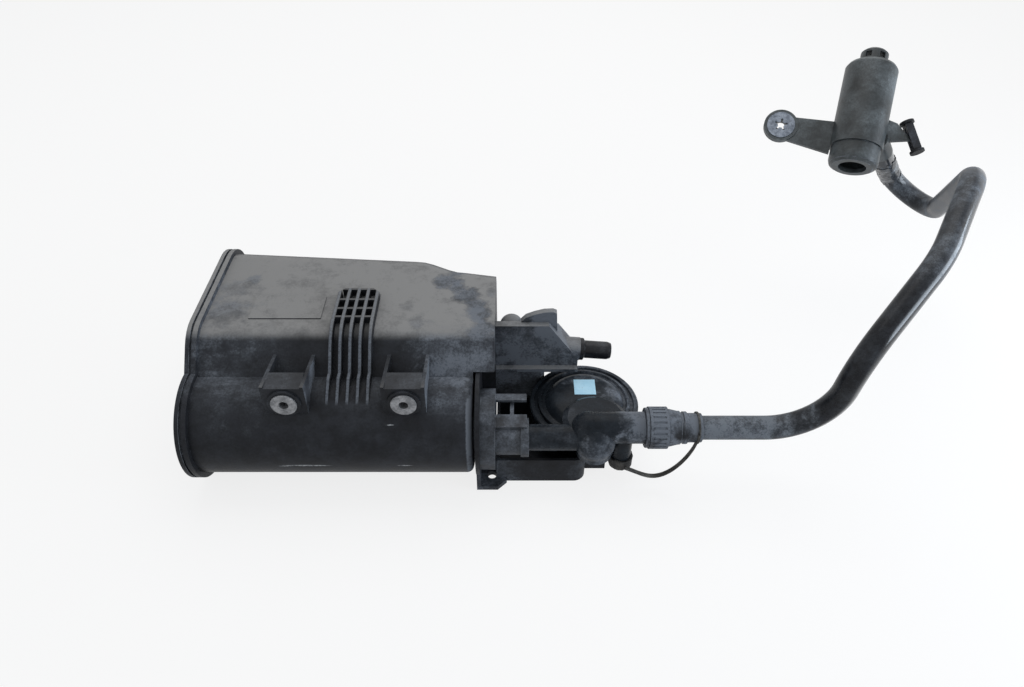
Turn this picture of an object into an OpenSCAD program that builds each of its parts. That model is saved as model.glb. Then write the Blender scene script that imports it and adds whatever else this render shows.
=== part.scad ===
// Charcoal canister with a leak detector, a formed vent pipe and a vent filter.
// Millimetres, +Z up. X runs along the canister and Y to the back. The origin lies midway between the
// two bracket inserts, on their faces. The modules work about the front tube's axis and place() moves
// each finished piece to that origin.

/* [Housing] */
// Outside radius of the front tube
can_r = 40; // [37:0.5:43]
// Wall of the housing
wall = 2.5; // [2:0.25:3]
// Distance from the bolt line's middle to the weld plane
weld_dist = 117.5; // [110:0.5:130]
// Length of the front tube from the weld plane
tube_len = 208; // [200:1:214]
// Rounding of the front tube's closed end
tube_edge_r = 5; // [3:0.5:7]
// Length of the rear chamber from the weld plane
lobe_len = 224; // [220:1:236]
// Height of the rear chamber's flat top above the tube's axis
lobe_top = 63; // [60:0.5:68]
// Depth of the rear chamber behind the tube's axis at the weld plane
lobe_depth = 150; // [144:1:160]
// Length over which the rear wall is drafted
taper_len = 157; // [140:1:165]
// How far the rear wall comes in over the drafted length
lobe_draft = 12; // [6:1:14]
// Length of the step in the rear wall
step_len = 42; // [34:1:48]
// How far the rear wall comes in at its step
lobe_step = 16; // [8:1:18]
// How far the rear wall comes in behind the step
lobe_tail = 5; // [2:1:7]
// Rounding of the rear chamber's rear edges
lobe_corner_r = 26; // [18:1:30]
// Rounding where the flat top turns down into the ramp
ramp_corner_r = 25; // [14:1:30]
// How far below the tube's crown the ramp starts
ramp_foot = 6; // [4:0.5:8]
// How far the rear chamber's floor lies above the tube's lowest line
lobe_rise = 0.5; // [0.25:0.25:3]

/* [Weld flange and cover] */
// How far the flange stands out of the wall
flange_lip = 4; // [3:0.5:5]
// Thickness of the housing's flange
flange_t = 3.5; // [3:0.5:6]
// Thickness of the cover's rim
cover_t = 5; // [4.5:0.5:8]
// Thickness of the cover's panel
cover_panel_t = 3; // [2.5:0.25:4]
// Width of the groove beside the weld
weld_groove_w = 1.6; // [1:0.2:2.4]
// Depth of the groove beside the weld
weld_groove_d = 1.8; // [1:0.2:2.4]
// Height of the cover's stiffening ribs
cover_rib_h = 2; // [1.5:0.5:4]
// Thickness of the cover's stiffening ribs
cover_rib_t = 2.2; // [1.6:0.2:3]
// Spacing of the cover's stiffening ribs
cover_rib_pitch = 26; // [22:1:34]

/* [Brackets and ribs] */
// Distance between the two bracket inserts
bolt_pitch = 85; // [80:1:95]
// Width of a bracket over its gussets
bracket_w = 31; // [28:1:36]
// Depth of the block that holds an insert
bracket_depth = 17; // [16:0.5:19]
// Height of the bracket's top above the tube's axis
bracket_top = 56; // [54:0.5:57]
// Distance from the tube's axis forward to the bracket's front face
bracket_front = 24; // [22:0.5:26]
// How far the gussets stand above the block
gusset_rise = 1.5; // [0.5:0.5:3]
// Height above the tube's axis at which the gussets run out into the ramp
gusset_tip = 51; // [49:0.5:54]
// Thickness of a gusset
gusset_t = 2.5; // [2:0.25:3.5]
// How far the insert's boss stands out of the front face
boss_rise = 1.6; // [1:0.2:3]
// Height of the inserts above the tube's axis
insert_z = 42.5; // [41:0.5:44]
// Radius of an insert's head
insert_head_r = 9.4; // [8:0.2:10]
// Thickness of an insert's head
insert_head_t = 1.4; // [1:0.2:2]
// Radius of an insert's shank
insert_r = 6; // [5:0.25:7]
// Length of an insert's shank
insert_len = 13; // [11:0.5:14]
// Radius of an insert's bore
insert_bore_r = 3.4; // [2.5:0.1:4]
// Width of the ribbed pad
pad_w = 32; // [28:1:36]
// Height of the ribbed pad above the wall
pad_h = 6; // [4:0.5:8]
// Distance from the tube's axis back to the ribbed pad's end
pad_depth = 76; // [70:1:84]
// Number of ribs on the pad
pad_ribs = 5; // [4:1:6]
// Thickness of a rib on the pad
pad_rib_t = 2.6; // [2:0.2:3.4]
// Width of the bare label field
field_w = 55; // [50:1:58]
// Depth of the bare label field
field_d = 27; // [20:1:30]
// Height of the bare label field
field_h = 0.8; // [0.4:0.2:1.2]

/* [Carbon beds] */
// Length of the springs behind the retainer plates
spring_len = 21; // [17:0.5:25]
// Radius of the main chamber's springs
main_spring_r = 12; // [10:0.5:14]
// Radius of the bleed chamber's spring
bleed_spring_r = 15; // [12:0.5:18]
// Wire of the springs
spring_wire = 2.2; // [1.6:0.2:2.6]
// Thickness of the retainer plates
plate_t = 3; // [2:0.25:4]
// Radius of the holes in the retainer plates
plate_hole_r = 2.6; // [2:0.2:3.2]
// Thickness of the fleeces
fleece_t = 3; // [2:0.5:5]
// Empty space between a bed and its port end
plenum = 6; // [4:0.5:8]
// Clearance around the beds, plates and fleeces
bed_gap = 0.4; // [0.3:0.1:0.6]

/* [Port block] */
// Length of the port block
port_len = 66; // [60:1:74]
// Depth of the port block
port_depth = 18; // [17:1:22]
// Distance from the tube's axis back to the port block's front
port_y = 52; // [48:1:56]
// Height of the port block's floor above the tube's axis
port_floor = 9; // [7:0.5:11]
// Height of the port block's top above the tube's axis
port_top = 50; // [47:0.5:52]
// Length of the port block's sloping shoulder
shoulder_len = 24; // [20:1:26]
// Height of the port block's end below the shoulder
shoulder_z = 16; // [13:0.5:18]
// How far the port block's rear top edge is cut down
crown_drop = 12; // [9:0.5:14]
// Depth of the port block's flat top
crown_flat = 6.5; // [5:0.5:8]
// Radius of the nipples
nipple_r = 7.2; // [6.4:0.1:7.6]
// Radius of the nipples' bore
nipple_bore_r = 5; // [4:0.25:5.4]
// Length of the nipples outside the block
nipple_len = 27; // [22:1:32]
// Downward tilt of the tank nipple
nipple_tilt = 5; // [0:1:8]
// Radius of the turret behind the port block
turret_r = 9.6; // [9:0.2:11]

/* [Vent end] */
// Gap between the front tube's end and the carrier plate
plate_gap = 2; // [1.5:0.25:3]
// Thickness of the carrier plate
carrier_t = 3; // [2.5:0.25:4]
// Radius of the carrier plate's round top
carrier_r = 42; // [41:0.5:44]
// Radius of the vent end cap
cap_r = 31; // [30.5:0.25:33]
// Length of the vent end cap
cap_len = 11.5; // [10:0.5:14]
// Radius of the spigot that enters the front tube
spigot_r = 11.8; // [10:0.2:13]
// Radius of the vent stub
stub_r = 13; // [12.5:0.25:13.5]
// Length of the vent stub
stub_len = 19; // [16:0.5:24]
// Radius of the vent stub's collar
collar_r = 14.6; // [14:0.2:15.4]
// Length of the vent stub's collar
collar_len = 6; // [4:0.5:8]
// Depth of the tray behind its front wall
tray_depth = 70; // [64:1:76]
// Height of the tray's walls
tray_h = 24; // [18:1:25]
// Radius of the foot tab's hole
foot_hole_r = 3.5; // [2.5:0.25:4]

/* [Leak detector] */
// Radius of the detector's rim
rim_r = 43; // [41:0.5:45]
// Length of the inlet tube from the stub's mouth to the detector's middle
inlet_len = 44.5; // [42:0.5:50]
// Radius of the inlet tube
inlet_r = 10; // [9:0.25:10.6]
// Radius of the elbow ball
ball_r = 15.5; // [14:0.5:16.5]
// Radius of the valve hood
hood_r = 25; // [23:0.5:26]
// Radius of the outlet tube
outlet_r = 12; // [11:0.25:12.6]
// Length of the outlet tube from the detector's middle
outlet_len = 41.5; // [38:0.5:48]
// Radius of the drain stub
drain_r = 7.5; // [6.5:0.25:8]
// Side of the square label
label_w = 17; // [14:0.5:18]

/* [Vent pipe] */
// Outside radius of the vent pipe
pipe_r = 9; // [8:0.25:9.5]
// Wall of the vent pipe
pipe_wall = 1.6; // [1.2:0.1:2]
// Length of the connector's socket on the outlet
socket_len = 19; // [16:0.5:24]
// Length of the connector's neck on the pipe
neck_len = 23.5; // [20:0.5:30]
// Length of the pipe's first straight leg, out of the connector
bend_lead = 68; // [56:1:80]
// Length of the pipe's long straight leg
long_leg = 131; // [115:0.5:145]
// Length of the pipe's last straight leg, up to the filter
last_leg = 42.5; // [36:0.5:55]
// Length of the torn film sleeve
cuff_len = 26; // [20:1:32]

/* [Vent filter] */
// Radius of the filter's can
filter_r = 22; // [20.5:0.25:23]
// Wall of the filter's can
filter_wall = 2; // [1.6:0.1:2.4]
// Length of the filter's can with its base
filter_len = 95; // [88:1:104]
// Length of the filter's base
base_len = 17; // [14:0.5:19]
// Radius of the mouth in the base
mouth_r = 11.5; // [9:0.25:13]
// Radius of the slotted nub
nub_r = 11.6; // [10:0.2:13]
// Length of the slotted nub
nub_len = 14; // [12.5:0.5:18]
// Roll of the filter about the pipe's end
filter_roll = 124; // [112:1:136]
// Radius of the lug at the end of the long arm
lug_r = 14.5; // [13:0.25:15.5]
// Distance from the filter's axis to the lug
lug_reach = 66; // [60:1:72]
// Distance from the filter's axis to the clip
clip_reach = 44; // [42:1:50]

/* [Hidden] */
$fn = 64;

// Clearance of a piece seated in another, on its radius or side
fit = 0.1;
// Overlap that makes cuts pass through
eps = 0.5;

// Stations along the housing
weld_x = -weld_dist;
tube_x = weld_x + tube_len;
lobe_x = weld_x + lobe_len;
step_parts = 6;
stations = concat([[weld_x, lobe_depth]],
    [for (i = [0:step_parts]) [weld_x + taper_len + step_len * i / step_parts,
        lobe_depth - lobe_draft - lobe_step * (1 - cos(180 * i / step_parts)) / 2]],
    [[lobe_x, lobe_depth - lobe_draft - lobe_step - lobe_tail]]);
floor_z = -can_r - flange_lip;
insert_y = -bracket_front - boss_rise - insert_head_t;

// Stations of what the chambers hold
cover_in_x = weld_x - cover_t + cover_panel_t;
plate_x = cover_in_x + spring_len;
plate_fleece_x = plate_x + plate_t;
bed_x = plate_fleece_x + fleece_t;
main_fleece_x = lobe_x - wall - plenum - fleece_t;
bleed_fleece_x = tube_x - wall - plenum - fleece_t;
main_spring_y = [60, 114];
main_spring_z = 8;

// Vent end, from the front tube's end outwards
recess_r = carrier_r + 1;
carrier_x = tube_x + plate_gap;
cap_x = carrier_x + carrier_t;
stub_x = cap_x + cap_len;
collar_x = stub_x + stub_len;
mouth_x = collar_x + collar_len;
vent_y = -6;
vent_z = -4;
inlet_y = -19;
inlet_z = 0.5;
cap_wall = 2.5;

// Carrier
tab_front = -33;
tab_t = 4;
tray_gap = 1;
tray_lap = 8;
tray_x = lobe_x + tray_gap;
tab_len = tray_x + tray_lap - carrier_x;
tray_front = -24;
tray_wall = 2.5;

// Leak detector, about its own middle
det_x = mouth_x + inlet_len;
det_y = 22.5;
det_split = -8;
det_floor = -26;
det_wall = 2.4;
det_top = 3;
rim_w = 8;
skin_t = 1.4;
outlet_y = -16;
outlet_z = 8;
tube_wall = 2.4;
hood_x = det_x + 6;
hood_y = -7.5;
hood_top = 10.5;
ball_x = det_x + 5;
ball_y = -22;
drain_x = det_x + 27;
drain_end = -26;
label_t = 0.4;
label_y = 9.5;

// Connector and pipe, along the outlet's axis
con_x = det_x + outlet_len;
outlet_spigot_r = pipe_r + 0.4;
stop_len = 3;
lock_gap = 3;
con_r = outlet_spigot_r + 3.6;
neck_r = pipe_r + 2;
neck_x = con_x + socket_len;
pipe_x = neck_x + stop_len;
con_end_x = neck_x + neck_len;

// Bend table of the pipe: straight legs, the roll before each bend, its turn and its radius
pipe_legs = [bend_lead, 3.5, 49.5, 49, long_leg, last_leg];
pipe_rolls = [-175, -135, 40.5, -33.5, 109];
pipe_turns = [86, 57.5, 22, 56, 159.5];
pipe_radii = [48, 46, 90, 36, 28];

// Filter, about the middle of its lower face
spigot_angle = 66.7;
spigot_z = 29;
spigot_side = 15;
spigot_seat = 26;
spigot_tip = 12;
arm_t = 3;
lug_z = 28;
lug_t = 5;
clip_z = 37.5;
clip_lean = 27;
clip_len = 30;

function rear(x) = lookup(x, stations);

// Shared shapes

module place() translate([0, -insert_y, -insert_z]) children();

// Extrudes a section in the Y-Z plane from x0 to x1
module along_x(x0, x1) translate([x0, 0, 0]) rotate([90, 0, 90]) linear_extrude(x1 - x0) children();

// Extrudes a profile in the X-Z plane from y0 back to y1
module along_y(y0, y1) translate([0, y1, 0]) rotate([90, 0, 0]) linear_extrude(y1 - y0) children();

// A cylinder along X
module rod(x0, x1, y, z, r) translate([x0, y, z]) rotate([0, 90, 0]) cylinder(r = r, h = x1 - x0);

// A ring of round section about an axis along X
module o_ring(x, y, z, r, section) translate([x, y, z]) rotate([0, 90, 0])
    rotate_extrude() translate([r, 0]) circle(section, $fn = 24);

// Points on an arc
function arc(x, y, r, from, to, steps) = [for (i = [0:steps]) let (a = from + (to - from) * i / steps)
    [x + r * cos(a), y + r * sin(a)]];

// Outline of the rear chamber's section, drawn in by inset: its floor, its flat top, its two rounded rear
// edges for a back wall at y, and the rounded ramp in front
function floor_at(inset) = lobe_rise + inset - can_r;
function rear_edges(inset, y) = let (r = lobe_corner_r - inset, x = y - lobe_corner_r) concat(
    arc(x, floor_at(inset) + r, r, -90, 0, 8), arc(x, lobe_top - lobe_corner_r, r, 0, 90, 8));
function ramp_edge(inset) = let (r = ramp_corner_r - inset, ramp = can_r - ramp_foot - inset * sqrt(2),
    x = lobe_top - inset - ramp + r * tan(22.5)) concat(
    arc(x, lobe_top - ramp_corner_r, r, 90, 135, 4), [[-can_r / 8, ramp - can_r / 8], [0, floor_at(inset)]]);

module lobe2d(inset, back) polygon(concat(rear_edges(inset, back), ramp_edge(inset)));

// The whole section at the weld
module weld2d(inset) {
    circle(can_r - inset);
    lobe2d(inset, lobe_depth);
}

// The rear chamber from x0 to x1, drawn in by inset, through the stations of its back wall
module lobe(inset, x0, x1) {
    xs = concat([x0], [for (s = stations) if (s[0] > x0 + eps && s[0] < x1 - eps) s[0]], [x1]);
    rings = [for (x = xs) concat(rear_edges(inset, rear(x)), ramp_edge(inset))];
    n = len(rings[0]);
    last = len(xs) - 1;
    points = [for (i = [0:last], p = rings[i]) [xs[i], p[0], p[1]]];
    faces = concat([[for (j = [0:n - 1]) j]], [[for (j = [n - 1:-1:0]) last * n + j]],
        [for (i = [0:last - 1], j = [0:n - 1]) let (k = (j + 1) % n)
            [i * n + j, (i + 1) * n + j, (i + 1) * n + k, i * n + k]]);
    polyhedron(points, faces, convexity = 4);
}

// What the rear chamber leaves to the front tube, and to the recess beyond the tube's end that clears the
// carrier plate, with gap as wall between them
module tube_room(gap) {
    rod(2 * weld_x, tube_x, 0, 0, can_r - wall + gap);
    rod(tube_x - gap, 2 * lobe_x, 0, 0, recess_r + gap);
}

// What fits the rear chamber from x0 to x1
module main_fill(x0, x1) difference() {
    lobe(wall + bed_gap, x0, x1);
    tube_room(wall + bed_gap);
}

// A flat layer that fits the rear chamber
module main_layer(x, t) difference() {
    along_x(x, x + t) lobe2d(wall + bed_gap, rear(x + t));
    tube_room(wall + bed_gap);
}

// A flat layer that fits the front tube
module bleed_layer(x, t) rod(x, x + t, 0, 0, can_r - wall - bed_gap);

// A coil spring along X
module spring(x, y, z, r, length, turns) {
    steps = 12 * turns;
    sides = 6;
    wire = spring_wire / 2;
    points = [for (i = [0:steps], j = [0:sides - 1])
        let (a = 30 * i, b = 360 * j / sides, ring = r + wire * cos(b))
        [x + wire + (length - spring_wire) * i / steps + wire * sin(b), y + ring * cos(a), z + ring * sin(a)]];
    faces = concat(
        [[for (j = [0:sides - 1]) j]],
        [for (i = [0:steps - 1], j = [0:sides - 1]) let (k = (j + 1) % sides)
            [i * sides + j, (i + 1) * sides + j, (i + 1) * sides + k, i * sides + k]],
        [[for (j = [sides - 1:-1:0]) steps * sides + j]]);
    polyhedron(points, faces, convexity = 8);
}

// Housing

module tube_outside() translate([weld_x, 0, 0]) rotate([0, 90, 0]) rotate_extrude() {
    square([can_r - tube_edge_r, tube_len]);
    square([can_r, tube_len - tube_edge_r]);
    translate([can_r - tube_edge_r, tube_len - tube_edge_r]) intersection() {
        circle(tube_edge_r);
        square(tube_edge_r);
    }
}

module bracket(x) {
    inner_w = bracket_w - 2 * gusset_t;
    translate([x - inner_w / 2, -bracket_front, can_r / 2])
        cube([inner_w, bracket_depth, bracket_top - can_r / 2]);
    for (side = [-1, 1]) translate([x + side * (bracket_w - gusset_t) / 2, 0, 0])
        along_x(-gusset_t / 2, gusset_t / 2) polygon([[-bracket_front, can_r / 2],
            [-bracket_front, bracket_top + gusset_rise],
            [gusset_tip - can_r + ramp_foot + wall, gusset_tip], [can_r / 2, can_r / 2]]);
    translate([x, -bracket_front + eps, insert_z]) rotate([90, 0, 0])
        cylinder(r = insert_head_r + 2.6, h = boss_rise + eps);
}

// Ribs over the ramp, tied by cross bars on the flat top
module rib_pad() {
    slots = pad_ribs - 1;
    slot_w = (pad_w - pad_ribs * pad_rib_t) / slots;
    bars = [pad_depth - 13, pad_depth - 24, pad_depth - 34];
    bar_t = 2;
    cells = [[bars[0], pad_depth - bar_t], [bars[1], bars[0] - bar_t], [bars[2], bars[1] - bar_t],
        [-can_r, bars[2] - bar_t]];
    chamfer = 5;
    difference() {
        along_x(-pad_w / 2, pad_w / 2) intersection() {
            weld2d(-pad_h);
            polygon([[-can_r / 2, can_r * 0.86], [3, can_r + pad_h + 4], [3, lobe_top + pad_h + eps],
                [pad_depth, lobe_top + pad_h + eps], [pad_depth, can_r], [0, can_r / 2]]);
        }
        for (i = [0:slots - 1], c = cells)
            translate([-pad_w / 2 + pad_rib_t + i * (slot_w + pad_rib_t), c[0], can_r / 2])
                cube([slot_w, c[1] - c[0], lobe_top]);
        for (side = [-1, 1]) translate([side * pad_w / 2, pad_depth, lobe_top]) rotate([0, 0, 45])
            cube([chamfer * sqrt(2), chamfer * sqrt(2), 4 * pad_h], center = true);
    }
}

// Ribs inside the chambers' port ends, which hold the fleeces off the end walls
module port_end_ribs() {
    rib_t = 2;
    for (back = [25, 71]) translate([lobe_x - wall - plenum, rear(lobe_x) - back, -can_r / 2])
        cube([plenum + wall / 2, rib_t, can_r + lobe_top / 2]);
    difference() {
        rod(tube_x - wall - plenum, tube_x - wall / 2, 0, 0, can_r * 0.7);
        rod(tube_x - wall - plenum - eps, tube_x, 0, 0, can_r * 0.7 - rib_t);
    }
}

module canister_housing() color([0.16, 0.17, 0.19]) place() {
    difference() {
        union() {
            tube_outside();
            lobe(0, weld_x, lobe_x);
            along_x(weld_x, weld_x + flange_t) weld2d(-flange_lip);
            for (side = [-1, 1]) bracket(side * bolt_pitch / 2);
            rib_pad();
            translate([-bolt_pitch / 2 - 38.5, 45, lobe_top - eps]) cube([field_w, field_d, field_h + eps]);
        }
        rod(weld_x - eps, tube_x - wall, 0, 0, can_r - wall);
        difference() {
            lobe(wall, weld_x - eps, lobe_x - wall);
            tube_room(wall);
        }
        rod(tube_x, 2 * lobe_x, 0, 0, recess_r);
        for (side = [-1, 1]) translate([side * bolt_pitch / 2, insert_y, insert_z]) rotate([-90, 0, 0])
            cylinder(r = insert_r + fit, h = insert_head_t + insert_len + fit);
        translate([lobe_x - 2 * wall, port_y + 4, port_floor + 6])
            cube([4 * wall, port_depth - 8, port_top - port_floor - crown_drop - 8]);
        rod(tube_x - 2 * wall, tube_x + eps, vent_y, vent_z, spigot_r + fit);
    }
    difference() {
        rod(tube_x - eps, carrier_x, vent_y, vent_z, spigot_r + 4);
        rod(tube_x - 2 * eps, carrier_x + eps, vent_y, vent_z, spigot_r + fit);
    }
    port_end_ribs();
}

module end_cover() color([0.17, 0.18, 0.20]) place() {
    outer_x = weld_x - cover_t;
    difference() {
        union() {
            along_x(outer_x, weld_x - weld_groove_w) weld2d(-flange_lip);
            along_x(weld_x - weld_groove_w - eps, weld_x) weld2d(weld_groove_d - flange_lip);
        }
        along_x(cover_in_x, weld_x + eps) weld2d(wall);
    }
    intersection() {
        along_x(outer_x - cover_rib_h, outer_x) weld2d(flange_lip);
        union() {
            for (y = [0, 1, 2, 3, 4]) translate([outer_x - cover_rib_h, y * cover_rib_pitch, -2 * can_r])
                cube([cover_rib_h + eps, cover_rib_t, 4 * can_r]);
            for (z = [-1, 0, 1]) translate([outer_x - cover_rib_h, -2 * can_r, z * cover_rib_pitch + 6])
                cube([cover_rib_h + eps, 2 * can_r + lobe_depth, cover_rib_t]);
        }
    }
}

// What the chambers hold

module main_carbon_bed() color([0.07, 0.07, 0.07]) place() main_fill(bed_x, main_fleece_x);

module bleed_carbon_bed() color([0.07, 0.07, 0.07]) place() bleed_layer(bed_x, bleed_fleece_x - bed_x);

module main_retainer_plate() color([0.25, 0.25, 0.26]) place() difference() {
    main_layer(plate_x, plate_t);
    for (y = [58:14:128], z = [-24:14:46])
        rod(plate_x - eps, plate_x + plate_t + eps, y, z, plate_hole_r);
}

module bleed_retainer_plate() color([0.25, 0.25, 0.26]) place() difference() {
    bleed_layer(plate_x, plate_t);
    for (ring = [[9, 6], [21, 12], [31, 16]], i = [0:ring[1] - 1]) let (a = 360 * i / ring[1])
        rod(plate_x - eps, plate_x + plate_t + eps, ring[0] * cos(a), ring[0] * sin(a), plate_hole_r);
}

module main_spring_front() color("silver") place()
    spring(cover_in_x, main_spring_y[0], main_spring_z, main_spring_r, spring_len, 4);

module main_spring_rear() color("silver") place()
    spring(cover_in_x, main_spring_y[1], main_spring_z, main_spring_r, spring_len, 4);

module bleed_spring() color("silver") place()
    spring(cover_in_x, 0, 0, bleed_spring_r, spring_len, 4);

module main_plate_fleece() color("ivory") place() main_layer(plate_fleece_x, fleece_t);

module main_port_fleece() color("ivory") place() main_layer(main_fleece_x, fleece_t);

module bleed_plate_fleece() color("ivory") place() bleed_layer(plate_fleece_x, fleece_t);

module bleed_vent_fleece() color("ivory") place() bleed_layer(bleed_fleece_x, fleece_t);

module bracket_insert(x) color([0.62, 0.63, 0.62]) place()
    translate([x, insert_y, insert_z]) rotate([-90, 0, 0]) difference() {
        union() {
            cylinder(r = insert_head_r, h = insert_head_t);
            cylinder(r = insert_r, h = insert_head_t + insert_len);
        }
        translate([0, 0, -eps]) cylinder(r = insert_bore_r, h = insert_head_t + insert_len + 2 * eps);
    }

module left_bracket_insert() bracket_insert(-bolt_pitch / 2);

module right_bracket_insert() bracket_insert(bolt_pitch / 2);

// Port block

port_end_x = lobe_x + port_len;
port_back = port_y + port_depth;
port_mid = port_y + port_depth / 2;
tank_z = shoulder_z + 3;
turret_x = lobe_x + turret_r + 3;
turret_y = port_back + turret_r - 3.5;
turret_floor = -26;
turret_top = port_top - 19;
skirt_floor = -30;
skirt_t = 3;
ledge_out = 5;
ledge_t = 3;
fin_y = port_y + 5;
fin_t = 5;
purge_z = -13;
nipple_root = 6;

module port_profile(inset) polygon([[lobe_x - (inset > 0 ? eps : 0), port_floor + inset],
    [port_end_x - inset, port_floor + inset], [port_end_x - inset, shoulder_z],
    [port_end_x - shoulder_len - inset * 0.6, port_top - inset],
    [lobe_x - (inset > 0 ? eps : 0), port_top - inset]]);

module tank_axis() translate([port_end_x, port_mid, tank_z]) rotate([0, 90 + nipple_tilt, 0]) children();

module purge_axis() translate([turret_x, turret_y + turret_r, purge_z]) rotate([-90, 0, 0]) children();

// The block drawn in by inset, with its rear top edge cut down
module port_body(inset) intersection() {
    along_y(port_y + inset, port_back - inset) port_profile(inset);
    along_x(lobe_x - 2 * eps, port_end_x + eps) polygon([[port_y, port_floor], [port_back, port_floor],
        [port_back, port_top - crown_drop - 1.5 * inset], [port_y + crown_flat, port_top - 1.5 * inset],
        [port_y, port_top - inset]]);
}

// Rounded fin on the top, which runs out into the shoulder
module port_fin() along_y(fin_y, fin_y + fin_t) polygon([[lobe_x + 20, port_top - 4], [lobe_x + 20, port_top],
    [lobe_x + 24, port_top + 4.5], [lobe_x + 31, port_top + 7.5],
    [port_end_x - shoulder_len - 4, port_top + 9.6], [port_end_x - shoulder_len + 3, port_top + 10],
    [port_end_x - shoulder_len + 6, port_top + 8.6],
    [port_end_x - shoulder_len + 7, port_top - 13], [port_end_x - shoulder_len - 4, port_top - 13]]);

module port_block() color([0.15, 0.16, 0.18]) place() difference() {
    union() {
        port_body(0);
        translate([lobe_x, port_y - ledge_out, port_floor - ledge_t])
            cube([port_len, port_depth + ledge_out, ledge_t]);
        translate([lobe_x, port_y, skirt_floor]) cube([port_len, skirt_t, port_floor - skirt_floor]);
        port_fin();
        translate([turret_x, turret_y, turret_floor]) cylinder(r = turret_r, h = turret_top - turret_floor);
        translate([turret_x, turret_y, turret_top]) sphere(turret_r);
        tank_axis() translate([0, 0, -16]) cylinder(r = nipple_r + 2.2, h = 17.5);
        purge_axis() translate([0, 0, -turret_r]) cylinder(r = nipple_r + 1.8, h = turret_r + 1.5);
    }
    port_body(wall);
    about_detector() translate([0, 0, skirt_floor - eps])
        cylinder(r = rim_r + 1.5, h = det_top - skirt_floor + 2);
    translate([det_x, port_y - eps, skirt_floor - eps])
        cube([port_len, skirt_t + 2 * eps, det_top - skirt_floor + 2]);
    translate([turret_x, turret_y, turret_floor + wall])
        cylinder(r = turret_r - wall, h = turret_top - turret_floor - wall);
    translate([turret_x, turret_y, port_floor + 12]) rotate([90, 0, 0])
        cylinder(r = turret_r - 2 * wall, h = turret_r + wall + eps);
    tank_axis() translate([0, 0, -nipple_root]) cylinder(r = nipple_r + fit, h = nipple_root + 3);
    tank_axis() translate([0, 0, -17]) cylinder(r = nipple_bore_r, h = 17);
    purge_axis() translate([0, 0, -nipple_root + 2]) cylinder(r = nipple_r + fit, h = nipple_root + 3);
    purge_axis() translate([0, 0, -turret_r]) cylinder(r = nipple_bore_r, h = turret_r);
}

// A spigot with a collar at its root and a chamfered tip, from the block's face outwards
module nipple(root) rotate_extrude() polygon([[nipple_bore_r, -root], [nipple_r, -root], [nipple_r, 1.5],
    [nipple_r + 1.8, 1.5], [nipple_r + 1.8, 4.5], [nipple_r, 5.5], [nipple_r, nipple_len - 3],
    [nipple_r - 1, nipple_len], [nipple_bore_r, nipple_len]]);

module tank_nipple() color([0.06, 0.06, 0.07]) place() tank_axis() nipple(nipple_root);

module purge_nipple() color([0.06, 0.06, 0.07]) place() purge_axis() nipple(nipple_root - 2);

// Vent end

module carrier_plate2d() difference() {
    union() {
        circle(carrier_r);
        translate([tab_front, floor_z]) square([6 - tab_front, -floor_z - 12]);
    }
    translate([vent_y, vent_z]) circle(spigot_r + fit);
}

module detector_carrier() color([0.10, 0.10, 0.11]) place() {
    tray_end = det_x;
    end_r = 9;
    post_r = 4;
    difference() {
        union() {
            along_x(carrier_x, cap_x) carrier_plate2d();
            translate([carrier_x, tab_front, floor_z]) linear_extrude(tab_t)
                polygon([[0, 0], [tab_len - 7, 0], [tab_len, 7], [tab_len, -tab_front], [0, -tab_front]]);
            translate([0, 0, floor_z]) linear_extrude(tray_h) tray2d(0, tray_end, end_r);
            translate([tray_end - 4, tray_front + 10, floor_z + 3]) cube([20, 10, 11]);
        }
        translate([0, 0, floor_z + tray_wall]) linear_extrude(tray_h) tray2d(tray_wall, tray_end, end_r);
        translate([carrier_x + tab_len / 2, tab_front + 11.5, floor_z - eps])
            cylinder(r = foot_hole_r, h = tab_t + 2 * eps);
        translate([tray_end + 10, tray_front + 15, floor_z]) cylinder(r = 2.2, h = tray_h);
        about_detector() translate([0, 0, det_floor]) cylinder(r = rim_r + 1, h = tray_h);
    }
    for (y = [det_y - 16, det_y + 16]) translate([det_x - 24, y, floor_z])
        cylinder(r = post_r, h = det_floor - floor_z);
}

// The tray's outline with a rounded right end
module tray2d(inset, x1, r) {
    x0 = tray_x + inset;
    y0 = tray_front + inset;
    y1 = tray_front + tray_depth - inset;
    rr = r - inset;
    translate([x0, y0]) square([x1 - inset - rr - x0, y1 - y0]);
    translate([x0, y0 + rr]) square([x1 - inset - x0, y1 - y0 - 2 * rr]);
    for (y = [y0 + rr, y1 - rr]) translate([x1 - inset - rr, y]) circle(rr);
}

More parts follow.
